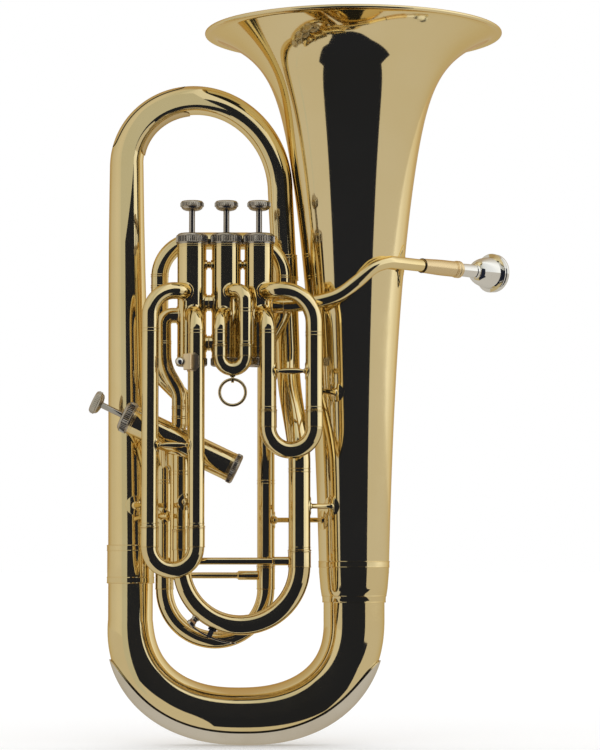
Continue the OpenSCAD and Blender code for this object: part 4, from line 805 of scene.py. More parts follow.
# Slide tubes, outlet and loop
slideSizes = {
    "y": -73.0, "radius": 8.0, "secondRadius": 6.6, "elbow": 18.0, "wall": 0.45, "gap": 43.4, "secondGap": 24.1,
    "firstLeft": 25.4, "secondLeft": -19.9, "thirdLeft": -85.5, "firstBow": 302.1, "secondBow": 369.0,
    "thirdBow": 189.7, "firstRing": 317.1, "secondRing": 378.7, "thirdRing": 207.7, "high": 432.0, "low": 410.0,
    # for each knuckle: turn from straight ahead, way out before its first bend, both bend radii
    "knuckles": ((34, 26.3, 13.5, 31.5), (23, 20.8, 9.5, 11.0), (-33, 20.0, 13.5, 24.5)),
    "knuckleSeams": (390.2, 412.6, 394.0), "elbowSeam": 392.2, "lugX": -7.85, "lugZ": 347.15,
}
mainSizes = {
    "y": -45.0, "left": -56.6, "right": 55.1, "leftRadius": 8.4, "rightRadius": 10.4, "bow": 171.8,
    "leftRing": 204.8, "rightRing": 185.5, "leftLow": 186.8, "rightLow": 170.3, "brace": 176.4, "leftSeam": 260.0,
    "rightSeam": 262.4,
}
fourthSizes = {
    "y": -17.0, "left": -74.1, "right": 22.9, "radius": 8.3, "bow": 149.7, "ring": 170.7, "knee": 249.7, "brace": 162.7,
    "wall": 0.45, "loopLow": 253.0, "loopTop": 484, "loopY": -22.2, "loopLeft": -79.3, "loopRight": 39.2,
    "loopIn": -44.5, "loopSeams": ((39.2, 449.0), (39.2, 438.0), (-79.3, 450.3), (-79.3, 439.7), (-44.5, 303.0)),
}
outletSizes = {
    "x": -59, "z": 409.9, "radius": 7.3, "bends": (8.8, 42, 24, 4),
    "seams": ((-74.3, 384.0), (-59, 322.0), (-59, 312.4)),
}


def leaveCasing(points, valve):
    # starts the path where it comes out of that valve's casing
    axis = Vector((valveSizes["x"][valve], valveSizes["y"], 0))
    cut = valveSizes["bore"] - 0.2
    away = [(Vector((p.x, p.y, 0)) - axis).length for p in points]
    first = next(i for i, d in enumerate(away) if d > cut)
    u = (cut - away[first - 1]) / (away[first] - away[first - 1])
    return [points[first - 1].lerp(points[first], u)] + points[first:]


def elbowPath(valve, x, low):
    s, v = slideSizes, valveSizes
    corners = [(v["x"][valve], v["y"], s["low"]), (x, s["y"], s["low"]), (x, s["y"], low)]
    return leaveCasing(roundedPath(corners, [s["elbow"]]), valve)


def knucklePath(valve, x, low):
    s, v = slideSizes, valveSizes
    turn, out, small, large = s["knuckles"][valve]
    turn = radians(turn)
    port = (v["x"][valve], v["y"], s["high"])
    corner = (port[0] + out * sin(turn), port[1] - out * cos(turn), s["high"])
    return leaveCasing(roundedPath([port, corner, (x, s["y"], s["high"]), (x, s["y"], low)], [small, large]), valve)


def sleeveEnd(piece, x, y, z, radius):
    # bead at the mouth of a sleeve, with a finer line above it
    place = upright(x, y)
    piece.turned([(radius - 0.45, z), (radius + 0.4, z), (radius + 0.8, z + 0.3), (radius + 0.8, z + 1.3),
                  (radius + 0.4, z + 1.7), (radius - 0.1, z + 1.7)], place, segments=64)
    piece.ring(place, z + 4.0, radius, bead=0.42, proud=0.4)


def frontSlide(word):
    # left leg, gap between the legs and tube radius; the second valve's slide is smaller
    s = slideSizes
    return s[word + "Left"], s.get(word + "Gap", s["gap"]), s.get(word + "Radius", s["radius"])


def makeFrontSlideTubes():
    s = slideSizes
    for valve, word in enumerate(("first", "second", "third")):
        left, gap, radius = frontSlide(word)
        highX, lowX = (left, left + gap) if word == "third" else (left + gap, left)
        ring = s[word + "Ring"]
        piece = Piece(word + "SlideTubes", tubeBrass, nodes=(word + "_slide_tubes",))
        piece.tubes([(knucklePath(valve, highX, ring), radius), (elbowPath(valve, lowX, ring), radius)],
                    wall=s["wall"], sides=56)
        for x in (highX, lowX):
            sleeveEnd(piece, x, s["y"], ring, radius)
        piece.seam(upright(highX, s["y"]), s["knuckleSeams"][valve], radius)
        piece.seam(upright(lowX, s["y"]), s["elbowSeam"], radius)
        piece.keep()


def makeBackTubes():
    m, f, y = mainSizes, fourthSizes, mainSizes["y"]
    tops = {"left": sideAxisZ(m["left"]) - 9.0, "right": bowSizes["endZ"]}
    main = Piece("mainSlideTubes", tubeBrass, nodes=("main_slide_tubes",))
    main.tubes([([(m[side], y, m[side + "Ring"]), (m[side], y, tops[side])], m[side + "Radius"]) for side in tops],
               wall=0.5, sides=56)
    for side in tops:
        sleeveEnd(main, m[side], y, m[side + "Ring"], m[side + "Radius"])
    for side in ("right", "left"):
        main.seam(upright(m[side], y), m[side + "Seam"], m[side + "Radius"])
    main.keep()

    left, right, radius = f["left"], f["right"], f["radius"]
    bend = sideAxisZ(left)
    knee = roundedPath([(left, f["y"], f["ring"]), (left, f["y"], bend - 28), (left, y + 8.6, bend - 8.6)], [16])
    fourth = Piece("fourthSlideTubes", tubeBrass, nodes=("fourth_slide_tubes",))
    fourth.tubes([(knee, radius), ([(right, f["y"], f["ring"]), (right, f["y"], f["loopLow"])], radius)],
                 wall=f["wall"], sides=56)
    for x in (left, right):
        sleeveEnd(fourth, x, f["y"], f["ring"], radius)
    fourth.seam(upright(left, f["y"]), f["knee"] + 2.6, radius)
    fourth.seam(upright(right, f["y"]), f["loopLow"] - 1.0, radius)
    fourth.keep()

    o = outletSizes
    x, z, low = o["x"], o["z"], sideAxisZ(o["x"])
    outlet = Piece("thirdValveOutlet", tubeBrass, nodes=("third_valve_outlet",))
    path = roundedPath([(valveSizes["x"][2] - valveSizes["casing"] + 1.2, y, z), (-74.6, y, z), (-74.0, y, 361),
                        (x, y, 336), (x, y, low + 16.5), (x - 2.1, y, low + 12.1)], o["bends"])
    outlet.tubes([(path, o["radius"])], wall=f["wall"], sides=52)
    for x, z in o["seams"]:
        outlet.seam(upright(x, y), z, o["radius"], gap=1.9)
    outlet.keep()

    loop = Piece("fourthValveLoop", tubeBrass, nodes=("fourth_valve_loop",))
    inside, inZ, back = f["loopIn"], sideAxisZ(f["loopIn"]), f["loopY"]
    path = roundedPath([
        (right, f["y"], f["loopLow"]), (right, f["y"], 386), (f["loopRight"], back, 414),
        (f["loopRight"], back + 1, f["loopTop"]), (f["loopLeft"], back + 1, f["loopTop"]), (f["loopLeft"], back, 355.5),
        (inside, back, 320.5), (inside, back, inZ), (inside, y + 12.6, inZ)], [26, 26, 35, 35, 20, 20, 10])
    loop.tubes([(path, radius)], wall=f["wall"], sides=56)
    for x, z in f["loopSeams"]:
        loop.seam(upright(x, back + (0.4 if z > 400 else 0)), z, radius, gap=1.9)
    loop.keep()


makeFrontSlideTubes()
makeBackTubes()
print("slide tubes done")


# Slides
def slidePiece(word, x, y, gap, bowZ, ring, leg, radius, insert):
    piece = Piece(word + "ValveSlide", tubeBrass, word + "_slide", (word + "_valve_slide",))
    bow = arcPath((x + gap / 2, y, bowZ), gap / 2, 0, -180, 48)
    legs = (x, x + gap)
    ends = [[(lx, y, ring - 0.3), (lx, y, bowZ + 1)] for lx in legs]
    piece.tubes([(ends[0] + bow + ends[1][::-1], radius)], wall=0.5, sides=56)
    piece.tubes([([(lx, y, bowZ), (lx, y, ring + insert)], leg) for lx in legs], wall=0.4, sides=48)
    for lx in legs:
        piece.collar(upright(lx, y), bowZ - 0.4, ring - 0.3, radius + 0.4, wall=0.6, lines=(0.2,))
    return piece


def makeSlides():
    s, f = slideSizes, fourthSizes
    for word, leg, insert in (("first", 7.5, 60), ("second", 6.1, 14), ("third", 7.5, 100)):
        left, gap, radius = frontSlide(word)
        slide = slidePiece(word, left, s["y"], gap, s[word + "Bow"], s[word + "Ring"], leg, radius, insert)
        if word == "second":
            # lug that holds the pull ring
            place = upright(s["lugX"], s["y"], s["lugZ"]) @ spin(90, "Y")
            slide.turned(mirrored([(1.9, -1.3), (3.0, -1.3), (3.3, -1.0)]), place, segments=32)
            slide.block((5.2, 3.4, 2.4), upright(s["lugX"], s["y"], 350.7), bevel=0.7)
        slide.keep()
    left, right, y, radius = f["left"], f["right"], f["y"], f["radius"]
    slide = slidePiece("fourth", left, y, right - left, f["bow"], f["ring"], 7.8, radius, 60)
    turnedRod(slide, (left + radius, y, f["brace"]), (right - radius, y, f["brace"]), 2.95,
              [(4.4, -0.8), (4.4, 3.4), (4.1, 3.8), (3.3, 4.3), (2.9, 5.4)],
              [(4.4, -0.8), (4.4, 17.6), (4.1, 18.2), (3.2, 18.9), (2.9, 20.4)])
    slide.keep()


def makeMainSlide():
    m = mainSizes
    left, right, y = m["left"], m["right"], m["y"]
    main = Piece("mainTuningSlide", tubeBrass, "main_slide", ("main_tuning_slide",))
    half = (right - left) / 2
    bow = arcPath((left + half, y, m["bow"]), half, 0, -180, 72)
    points = [Vector((left, y, m["leftLow"] + 2))] + bow + [Vector((right, y, m["rightLow"] + 4))]
    radii = [m["leftRadius"]] + [mix(m["leftRadius"], m["rightRadius"], i / 72) for i in range(73)] + [m["rightRadius"]]
    main.tubes([(points, radii)], wall=0.75, sides=64)
    main.tubes([([(m[side], y, m[side + "Low"] + start), (m[side], y, m[side + "Ring"] + insert)], leg)
                for side, start, insert, leg in (("left", 4, 48, 7.9), ("right", 6, 62, 9.75))], wall=0.5, sides=48)
    for side in ("left", "right"):
        main.collar(upright(m[side], y), m[side + "Low"], m[side + "Ring"] - 0.3, m[side + "Radius"] + 0.4, wall=1.2,
                    lines=(0.2,))
    turnedRod(main, (left + 8.2, y, m["brace"]), (right - 10.2, y, m["brace"]), 3.35,
              [(4.1, -0.8), (4.1, 5.6), (4.45, 5.9), (4.45, 7.1), (4.1, 7.4), (3.9, 8.2), (3.35, 8.6)],
              [(4.1, -0.8), (4.1, 13.2), (4.4, 13.5), (4.4, 14.7), (4.0, 15.0), (3.35, 15.6)])
    main.keep()


def makePullRing():
    s, wire = slideSizes, 1.42
    ring = Piece("pullRing", tubeBrass, "pull_ring", ("pull_ring",))
    profile = [(12.2 + wire * cos(a), wire * sin(a)) for a in (radians(18 * k) for k in range(20))]
    ring.turned(profile, upright(s["lugX"], s["y"], s["lugZ"] - 12.2) @ spin(90, "X"), segments=72)
    ring.keep(sharp=70)


def turnedRod(piece, a, b, middle, one, two):
    # rod from a to b; one and two are its ends' (radius, way in), middle the radius half way
    a, b = Vector(a), Vector(b)
    length = (b - a).length
    profile = [(0, one[0][1])] + one + [(middle, length / 2)] + [(r, length - z) for r, z in reversed(two)]
    piece.turned(profile + [(0, length - two[0][1])], alongAxis(a, b - a), segments=40, closed=False)


makeSlides()
makeMainSlide()
makePullRing()
print("slides done")


# Leadpipe, receiver and mouthpiece
leadSizes = {
    "z": 419.0, "mouthZ": 460.8, "wrap": 57.08, "startRadius": 6.8, "endRadius": 5.9, "receiver": 53.5,
    "receiverRadius": 8.4, "out": 50.3, "rim": 19.2, "cup": 12.8, "shank": 6.3, "inside": 28.0, "tuck": 5.5,
    "throat": 3.4,
}


def leadWrap(angle, z):
    a = radians(angle)
    return Vector((bellSizes["x"] + leadSizes["wrap"] * cos(a), leadSizes["wrap"] * sin(a), z))


mouthDirection = Vector((cos(radians(45)), sin(radians(45)), 0))
receiverStart = leadWrap(-45, leadSizes["mouthZ"]) + 41 * mouthDirection


def makeLeadpipe():
    s, v = leadSizes, valveSizes
    x, y, z, top = v["x"][0], v["y"], s["z"], s["mouthZ"]
    guides = [(x - 12, y + 1, z), (x + v["casing"], y, z), (x + 32, y - 2, z + 0.4), (x + 52, y - 6, z + 3),
              leadWrap(-106, z + 9.5), leadWrap(-88, z + 22), leadWrap(-72, top - 6), leadWrap(-57, top - 0.6),
              leadWrap(-45, top), leadWrap(-45, top) + 20 * mouthDirection, receiverStart - 4 * mouthDirection,
              receiverStart + 20 * mouthDirection]
    points = smoothCurve(guides, 14)
    points = [Vector((x + v["casing"] - 1.5, y, z))] + points[1:]
    along = lengthsAlong(points)
    piece = Piece("leadpipe", tubeBrass, nodes=("leadpipe",))
    piece.tubes([(points, [mix(s["startRadius"], s["endRadius"], u) for u in along])], wall=0.6, sides=48)
    place = upright(x + v["casing"], y, z) @ spin(90, "Y")
    piece.collar(place, 9.0, 17.0, 7.35, wall=0.9, segments=56)
    # pointed foot between the bell and the leadpipe
    grid, middle = [], Vector((bellSizes["x"], 0, 461.0))
    for k in range(25):
        a = radians(mix(-34, -6, k / 24))
        tall = 18.5 * (1 - abs(k / 12 - 1) ** 1.5) + 1.2
        grid.append([Vector((bellSizes["x"], 0, zz)) + (bellRadius(zz) - 0.1) * Vector((cos(a), sin(a), 0))
                     for zz in (middle.z + mix(-tall, tall, i / 16) for i in range(17))])
    plateFromGrid(piece, grid, middle, 0.8, 0.25)
    piece.keep(sharp=50)


def makeReceiver():
    s = leadSizes
    end, length = s["receiverRadius"], s["receiver"]
    place = alongAxis(receiverStart - s["tuck"] * mouthDirection, mouthDirection)
    receiver = Piece("mouthpieceReceiver", satinBrass, nodes=("mouthpiece_receiver",), slot="satin_brass")
    profile = [(5.0, 0), (6.7, 0), (6.95, 0.3)]
    profile += [(mix(6.95, end - 0.7, smoothStep(u / 10)), mix(0.6, 30.0, u / 10)) for u in range(1, 11)]
    profile.append((end - 0.7, length - 9.6))
    # two turned rings before the mouth
    for k in range(2):
        profile += shifted(end, length - 9.4 + k * 1.9, [(-1.15, 0), (-1.15, 0.5), (-0.65, 0.7), (-0.65, 1.7)])
    profile += shifted(end, length, [(-0.5, -4.8), (0, -4.2), (0, -0.7), (-0.5, 0)])
    receiver.turned(profile + shifted(0, length, [(6.36, 0), (5.1, -27), (5.0, -28)]), place, segments=72)
    receiver.keep(sharp=35)
    # solder bead where the leadpipe meets the receiver; its near-black colour is painted shade in that joint
    solderShadeRing = Piece("receiverSolderShadeLine", solderWithPaintedShade, slot="satin_brass")
    solderShadeRing.ring(place, 0.3, 6.75, bead=0.65, proud=0.42, segments=72)
    solderShadeRing.keep()


def makeMouthpiece():
    s = leadSizes
    rim, cup, shank, length, throat = s["rim"], s["cup"], s["shank"], s["receiver"], s["throat"]
    face, bend = length + s["out"], radians(72)
    profile = shifted(0, length - 27.8, [(4.6, 0), (shank - 0.025 * s["inside"], 0)])
    profile += shifted(shank, length, [
        (0, 0), (0.25, 14), (0.35, 15.4), (1.1, 15.9), (1.2, 17.2), (0.7, 17.9)])
    for a in (bend * k / 14 for k in range(15)):
        profile.append((shank + 0.9 + (rim - 4.3 - shank) * sin(a) / sin(bend),
                        mix(length + 18.6, face - 9.4, (1 - cos(a)) / (1 - cos(bend)))))
    # thin disc round the cup, groove, rounded rim
    profile += shifted(rim, face, [
        (-2.2, -9.2), (-0.4, -9.0), (0, -8.5), (0, -7.4), (-0.5, -6.9), (-1.7, -6.6), (-1.9, -6.1), (-1.5, -5.6),
        (-0.7, -4.9), (-0.35, -3.9), (-0.4, -2.7), (-0.9, -1.4), (-1.8, -0.4), (-3.1, 0)])
    profile += shifted(cup, face, [(2.2, -0.15), (1.0, -0.8), (0.2, -2.0)])
    for a in (radians(d) for d in range(8, 85, 8)):
        profile.append((throat + (cup - throat) * cos(a), face - 2.6 - 21 * sin(a)))
    profile += [(throat, face - 26), (throat, face - 31), (4.6, length - 15)]
    mouth = Piece("mouthpiece", brightSilver, "mouthpiece", ("mouthpiece",), "silver")
    mouth.turned(profile, alongAxis(receiverStart, mouthDirection), segments=96)
    mouth.keep(sharp=35)


makeLeadpipe()
makeReceiver()
makeMouthpiece()
print("leadpipe and mouthpiece done")


# Water key
keySizes = {"pivot": 66.0, "cup": 49.4, "reach": 7.0, "lever": 4.2, "span": 35.0, "corkThickness": 2.0}


def mainBowRadius(a):
    return mix(mainSizes["leftRadius"], mainSizes["rightRadius"], a / 180)


def offBow(a, reach):
    m = mainSizes
    half = (m["right"] - m["left"]) / 2
    angle = radians(a)
    centre = Vector((m["left"] + half - reach * cos(angle), m["y"], m["bow"] - reach * sin(angle)))
    return Matrix.Translation(centre) @ spin(-90 - a, "Y")


def makeWaterKey():
    k, m = keySizes, mainSizes
    half = (m["right"] - m["left"]) / 2
    keyReach = half + mainBowRadius(k["pivot"]) + k["reach"]
    cupReach = half + mainBowRadius(k["cup"])
    back = cupReach + 3 + 0.1 + k["corkThickness"]
    arm = keyReach + 0.4

    key = Piece("waterKey", darkNickel, "water_key", ("water_key",), "dark_nickel")
    key.turned([(0, 0), (3.8, 0), (4.3, 0.5), (4.3, 2.6), (3.9, 3.3), (2.2, 3.8), (2.0, arm - back + 1),
                (0, arm - back + 1)], offBow(k["cup"], back), segments=40, closed=False)
    barrel = offBow(k["pivot"], keyReach) @ spin(90, "X")
    key.turned(mirrored([(1.35, -2.5), (2.1, -2.5), (2.25, -2.2)]), barrel, segments=36)
    # lever that follows the bow
    bm = bmesh.new()
    rows, count = [], 28
    for i in range(count + 1):
        place = offBow(k["cup"] + k["span"] * i / count, 0)
        width = k["lever"] / 2 * (1 + 0.35 * smoothStep(min(i / count * 3, 1)) * (1 - i / count))
        section = [(-width, 0.0), (-width + 0.3, -0.2), (width - 0.3, -0.2), (width, 0.0), (width, 1.2),
                   (width - 0.5, 1.6), (-width + 0.5, 1.6), (-width, 1.2)]
        rows.append([bm.verts.new((place @ Vector((0, y, arm + z))) * milli) for y, z in section])
    bridge(bm, rows)
    bm.faces.new(rows[0])
    bm.faces.new(rows[-1][::-1])
    key.addShape(bm)
    key.turned([(0, -0.2), (3.0, -0.2), (3.6, 0.2), (3.7, 0.7), (3.6, 1.3), (3.0, 1.7), (0, 1.8)],
               offBow(k["cup"] + k["span"], arm), segments=40, closed=False)
    key.keep(sharp=35)

    cork = Piece("waterKeyCork", corkFinish, "water_key", ("water_key_cork",), "cork")
    cork.turned([(0, 0), (3.2, 0), (3.5, 0.3), (3.5, 1.9), (3.4, 2.0), (0, 2.0)], offBow(k["cup"], cupReach + 3.1),
                segments=36, closed=False)
    cork.keep()

    saddle = Piece("waterKeySaddle", darkNickel, "main_slide", ("water_key_saddle",), "dark_nickel")
    foot = half + mainBowRadius(k["pivot"]) - 0.1
    base = offBow(k["pivot"], foot)
    saddle.block((8.0, 8.8, 1.9), base @ upright(0, 0, 0.95), bevel=0.4)
    for side in (-1, 1):
        saddle.block((4.8, 1.6, 9.0), base @ upright(0, side * 3.6, 4.5), bevel=0.5)
    saddle.turned(mirrored([(0, -4.9), (0.9, -4.9), (1.0, -4.7)]), barrel, segments=28, closed=False)
    saddle.turned([(1.7, -0.9), (3.9, -0.9), (3.9, 0.8), (3.2, 1.3), (3.2, 3.0), (1.7, 3.0)],
                  offBow(k["cup"], cupReach), segments=36)
    saddle.keep(sharp=35)


makeWaterKey()
print("water key done")


# Stays and lyre socket
staySizes = {"radius": 2.4, "foot": 9.3, "smallFoot": 8.0}


def makeStays():
    s, m, f, g = slideSizes, mainSizes, fourthSizes, staySizes
    pair = Piece("slideStays", tubeBrass, nodes=("slide_stays",))
    for x, z in ((s["firstLeft"], 355.0), (s["thirdLeft"], 285.3)):
        a, b = Vector((x, s["y"], z)), Vector((x + s["gap"], s["y"], z))
        along = Vector((1, 0, 0))
        end = [(2.7, -0.8), (2.7, 1.0), (2.2, 1.4), (1.7, 2.2), (1.8, 3.2), (2.5, 5.6), (2.9, 8.6)]
        turnedRod(pair, a + along * s["radius"], b - along * s["radius"], 3.05, end, end)
        for place in (footFrame(a, along), footFrame(b, -along)):
            pair.flange(place, s["radius"], g["smallFoot"], 1.0, 0.6)
    pair.keep()

    bell = bellSizes["x"]
    # each stay: first and second tube's place, their radii (none where it is the bell), height
    rows = (
        ((s["firstLeft"] + s["gap"], s["y"]), (bell, 0.0), s["radius"], bellRadius(337), 337.0),
        ((m["right"], m["y"]), (bell, -14.0), m["rightRadius"], None, 228.6),
        ((f["right"], f["y"]), (bell, f["y"]), f["radius"], None, 215.6),
        ((-108.2, 0.0), (s["thirdLeft"], s["y"]), 21.2, s["radius"], 229.5),
        ((m["left"], m["y"]), (s["thirdLeft"] + s["gap"], s["y"]), m["leftRadius"], s["radius"], 232.3),
        ((s["thirdLeft"], s["y"]), (f["left"], f["y"]), s["radius"], f["radius"], 219.1))
    stays = Piece("bodyStays", tubeBrass, nodes=("body_stays",))
    boss = [(3.8, -0.8), (3.8, 1.5), (3.5, 2.0), (2.8, 2.4), (2.4, 3.2)]
    for one, two, tubeA, tubeB, z in rows:
        a, b = Vector((*one, z)), Vector((*two, z))
        along = (b - a).normalized()
        start = a + along * (tubeA - 0.2)
        if tubeB is None:
            # off-centre foot on the bell
            radius, centre = bellRadius(z), Vector((bell, 0, z))
            half = (a - centre).dot(along)
            end = a + along * (0.3 - half - sqrt(half ** 2 - (a - centre).length_squared + radius ** 2))
            stays.flange(footFrame(centre, end - centre), radius, g["foot"], 1.0, 0.7)
        else:
            end = b - along * (tubeB - 0.2)
            stays.flange(footFrame(b, -along), tubeB, g["foot"] if tubeB > 9 else g["smallFoot"], 1.0, 0.7)
        stays.flange(footFrame(a, along), tubeA, g["foot"] if tubeA > 9 else g["smallFoot"], 1.0, 0.7)
        turnedRod(stays, start, end, g["radius"], boss, boss)
    stays.keep()


def footFrame(axisPoint, out):
    z = Vector((out.x, out.y, 0)).normalized()
    x = Vector((0, 0, 1))
    y = z.cross(x)
    matrix = Matrix(((x.x, y.x, z.x), (x.y, y.y, z.y), (x.z, y.z, z.z))).to_4x4()
    matrix.translation = axisPoint
    return matrix


lyreSizes = {
    "x": -50.0, "y": -84.0, "z": 363.0, "boxWide": 7.5, "boxDeep": 10.0, "boxTall": 15.0, "hole": 2.1,
    "plateTall": 8.6, "knob": 4.3,
}


def makeLyre():
    g, s = lyreSizes, slideSizes
    x, y, z = g["x"], g["y"], g["z"]
    socket = Piece("lyreSocket", lyreBrass, nodes=("lyre_socket",), slot="satin_brass")
    # thin plate with cut corners, soldered round the leg
    legX = s["thirdLeft"] + s["gap"]
    grid = []
    for k in range(29):
        a = mix(-104, 18, k / 28)
        tall = g["plateTall"] - 3.4 * max((a + 2) / 20, (-88 - a) / 16, 0)
        out = Vector((sin(radians(a)), -cos(radians(a)), 0))
        base = Vector((legX, s["y"], z)) + out * (s["radius"] + 0.02)
        grid.append([base + Vector((0, 0, mix(-tall, tall, i / 8))) for i in range(9)])
    plateFromGrid(socket, grid, Vector((legX, s["y"], z)), 0.68, 0.22)
    # box with the lyre's hole down it
    wide, deep, tall, hole = g["boxWide"] / 2, g["boxDeep"] / 2, g["boxTall"] / 2, g["hole"]
    outline = [(wide - 0.9, deep), (-wide + 0.9, deep), (-wide, deep - 0.9), (-wide, -deep + 3.0),
               (-wide + 0.9, -deep + 2.3), (wide - 0.9, -deep), (wide, -deep + 0.9), (wide, deep - 0.9)]
    bm = bmesh.new()
    rings = [[bm.verts.new(((x + px * scale) * milli, (y + 0.9 + py * scale) * milli, (z + level) * milli))
              for px, py in outline]
             for level, scale in ((-tall, 0.9), (-tall + 0.5, 1.0), (tall - 0.5, 1.0), (tall, 0.9))]
    holes = [[bm.verts.new(((x + hole * cos(a)) * milli, (y + hole * sin(a)) * milli, (z + level) * milli))
              for a in (radians(67.5 + 45 * k) for k in range(8))] for level in (-tall, tall)]
    bridge(bm, rings)
    for k in range(8):
        l = (k + 1) % 8
        bm.faces.new((holes[0][k], holes[0][l], rings[0][l], rings[0][k]))
        bm.faces.new((holes[1][l], holes[1][k], rings[-1][k], rings[-1][l]))
        bm.faces.new((holes[0][l], holes[0][k], holes[1][k], holes[1][l]))
    socket.addShape(bm)
    socket.keep(sharp=25)

    screw = Piece("lyreScrew", brightSilver, "lyre_screw", ("lyre_screw",), "silver")
    place = upright(x - 3.0, y, z + 0.4) @ spin(-90, "Y")
    r = g["knob"]
    knob = [(r * sin(radians(a)), r - 0.1 - r * cos(radians(a))) for a in range(24, 181, 12)]
    profile = [(0, -1.4), (1.6, -1.4), (1.6, 0.4)] + knob[:-1] + [(0, 2 * r - 0.1)]
    screw.turned(profile, place, segments=48, closed=False)
    screw.keep()


makeStays()
makeLyre()
print("stays and lyre socket done")


# Carried-over solids inside the horn
insideFinishes = {
    "piston_spring": springSteel, "piston": pistonMetal, "valve_guides": plasticFinish, "bell_rim_wire": springSteel,
}
for name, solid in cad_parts.items():
    for start, finish in insideFinishes.items():
        if name.startswith(start):
            solid.data.materials.clear()
            solid.data.materials.append(finish)
            break
print("inside solids painted")


# Studio
studio = {
    "floorSize": 60.0,
    # dark card before the horn, as (x, z) at cardY, and a mat on the floor, as (x, y) just above it; both show only in
    # reflections, painted dark reflection on the metal
    "cardY": -0.52, "card": ((-0.43, -0.05), (0.56, -0.05), (0.56, 0.72), (0.0, 0.72), (-0.20, 0.60), (-0.43, 0.575)),
    "matZ": 0.0005, "mat": (
        (-0.43, -0.52), (0.56, -0.52), (0.56, -0.30), (0.38, -0.22), (0.25, -0.16), (0.16, -0.075), (0.10, -0.042),
        (-0.03, -0.040), (-0.06, -0.11), (-0.12, -0.19), (-0.20, -0.215), (-0.30, -0.30), (-0.43, -0.40)),
    "cardColour": (0.016, 0.0185, 0.030), "strength": 1.2, "floorColour": (0.9, 0.9, 0.9), "floorGlow": 0.14,
    # warm grey glow the floor shows to reflection rays only: painted reflection, darker than the floor the camera sees
    "floorReflectionGlow": (0.58, 0.54, 0.47),
    # pale glowing strip beside the tall left tube, seen only in reflections: painted pale reflection on that tube, as
    # (x, z) at stripY
    "stripY": -0.062, "stripColour": (0.53, 0.53, 0.48), "strip": (
        (-0.150, 0.02), (-0.119, 0.02), (-0.119, 0.49), (-0.085, 0.53), (-0.030, 0.59), (-0.050, 0.69), (-0.150, 0.69)),
    # light around the horn in reflections: degrees from straight ahead, towards the right, and colour
    "round": (
        (-180, (0.50, 0.38, 0.24)), (-140, (0.52, 0.44, 0.32)), (-100, (0.60, 0.56, 0.48)), (-60, (0.66, 0.62, 0.54)),
        (-20, (0.56, 0.56, 0.50)), (5, (0.76, 0.75, 0.70)), (40, (0.85, 0.85, 0.82)), (62, (0.90, 0.90, 0.87)),
        (86, (1.10, 1.09, 1.04)), (128, (0.76, 0.72, 0.64)), (155, (0.60, 0.52, 0.42)), (180, (0.50, 0.38, 0.24))),
    "lens": 134.2, "sensor": 36.0, "cameraPlace": (0.0556, -2.700, 0.180), "cameraTilt": 3.73,
}


def plainStage(name, corners, material):
    mesh = bpy.data.meshes.new(name)
    mesh.from_pydata(corners, [], [range(len(corners))])
    mesh.materials.append(material)
    item = newObject(name, mesh)
    return item


def glowMaterial(name, colour):
    material, tree = newMaterial(name)[:2]
    tree.nodes.clear()
    glow = newNode(tree, "ShaderNodeEmission", {"Color": (*colour, 1)})
    newNode(tree, "ShaderNodeOutputMaterial", {"Surface": glow.outputs[0]})
    return material


def floorMaterial():
    material, tree = newMaterial("paleFloor")[:2]
    tree.nodes.clear()
    matte = newNode(tree, "ShaderNodeBsdfDiffuse", {"Color": (*studio["floorColour"], 1)}).outputs[0]
    glow = newNode(tree, "ShaderNodeEmission", {"Strength": studio["floorGlow"]}).outputs[0]
    mirrored = newNode(tree, "ShaderNodeEmission", {"Color": (*studio["floorReflectionGlow"], 1)}).outputs[0]
    path = newNode(tree, "ShaderNodeLightPath").outputs
    seen = newNode(tree, "ShaderNodeAddShader", {0: matte, 1: glow}).outputs[0]
    # reflection rays see the painted reflection glow instead of the lit floor
    other = newNode(tree, "ShaderNodeMixShader", {0: path["Is Glossy Ray"], 1: matte, 2: mirrored}).outputs[0]
    pick = newNode(tree, "ShaderNodeMixShader", {0: path["Is Camera Ray"], 1: other, 2: seen}).outputs[0]
    newNode(tree, "ShaderNodeOutputMaterial", {"Surface": pick})
    return material


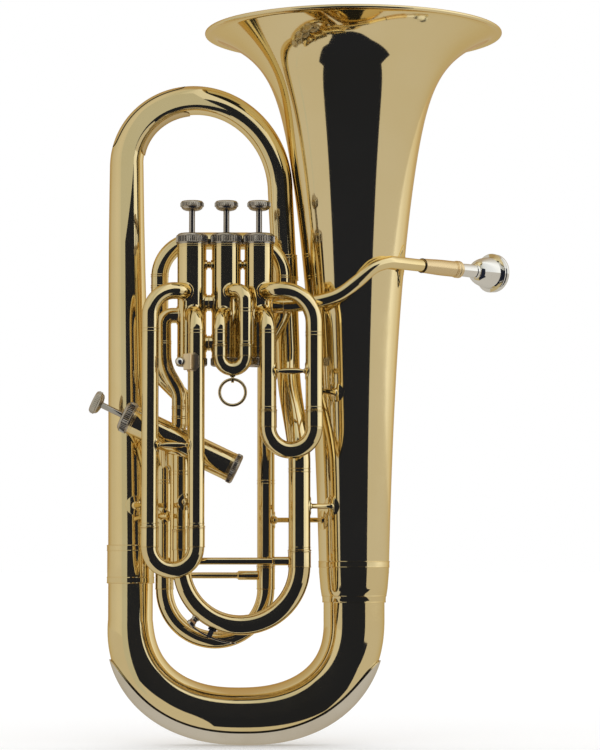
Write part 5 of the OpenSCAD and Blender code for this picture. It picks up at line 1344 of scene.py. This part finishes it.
def makeStudio():
    s = studio
    half = s["floorSize"] / 2
    plainStage("floor", [(-half, -half, 0), (half, -half, 0), (half, half, 0), (-half, half, 0)], floorMaterial())
    dark = glowMaterial("darkReflectionCard", s["cardColour"])
    card = plainStage("darkReflectionCard", [(x, s["cardY"], z) for x, z in s["card"]], dark)
    mat = plainStage("darkReflectionMat", [(x, y, s["matZ"]) for x, y in s["mat"]], dark)
    pale = glowMaterial("paleReflectionStrip", s["stripColour"])
    strip = plainStage("paleReflectionStrip", [(x, s["stripY"], z) for x, z in s["strip"]], pale)
    # card, mat and strip are seen by reflection rays only: painted dark and pale reflections on the metal
    for item in (card, mat, strip):
        for rays in ("camera", "diffuse", "transmission", "shadow", "volume_scatter"):
            setattr(item, "visible_" + rays, False)

    world = bpy.data.worlds.new("softStudio")
    bpy.context.scene.world = world
    world.use_nodes = True
    tree = world.node_tree
    tree.nodes.clear()
    place = newNode(tree, "ShaderNodeTexCoord").outputs["Generated"]
    parts = newNode(tree, "ShaderNodeSeparateXYZ", {0: place}).outputs
    ahead = newNode(tree, "ShaderNodeMath", {0: parts["Y"], 1: -1}, operation="MULTIPLY").outputs[0]
    turn = newNode(tree, "ShaderNodeMath", {0: parts["X"], 1: ahead}, operation="ARCTAN2").outputs[0]
    share = newNode(tree, "ShaderNodeMath", {0: turn, 1: 0.5 / pi, 2: 0.5}, operation="MULTIPLY_ADD").outputs[0]
    ramp = newNode(tree, "ShaderNodeValToRGB", {0: share})
    ramp.color_ramp.interpolation = "EASE"
    stops = ramp.color_ramp.elements
    while len(stops) < len(s["round"]):
        stops.new(1.0)
    for i, (angle, colour) in enumerate(s["round"]):
        stops[i].position = angle / 360 + 0.5
        stops[i].color = (*[c / s["strength"] for c in colour], 1)
    path = newNode(tree, "ShaderNodeLightPath").outputs["Is Glossy Ray"]
    plain = newNode(tree, "ShaderNodeBackground", {"Color": (1, 1, 1, 1)}).outputs[0]
    sky = newNode(tree, "ShaderNodeBackground", {"Color": ramp.outputs[0], "Strength": s["strength"]}).outputs[0]
    pick = newNode(tree, "ShaderNodeMixShader", {0: path, 1: plain, 2: sky}).outputs[0]
    newNode(tree, "ShaderNodeOutputWorld", {"Surface": pick})


def makeCamera():
    data = bpy.data.cameras.new("camera")
    data.lens = studio["lens"]
    data.sensor_width = studio["sensor"]
    camera = newObject("camera", data)
    camera.location = studio["cameraPlace"]
    camera.rotation_euler = (radians(90 + studio["cameraTilt"]), 0, 0)
    bpy.context.scene.camera = camera


makeStudio()
makeCamera()
bpy.context.scene.view_settings.view_transform = "Standard"
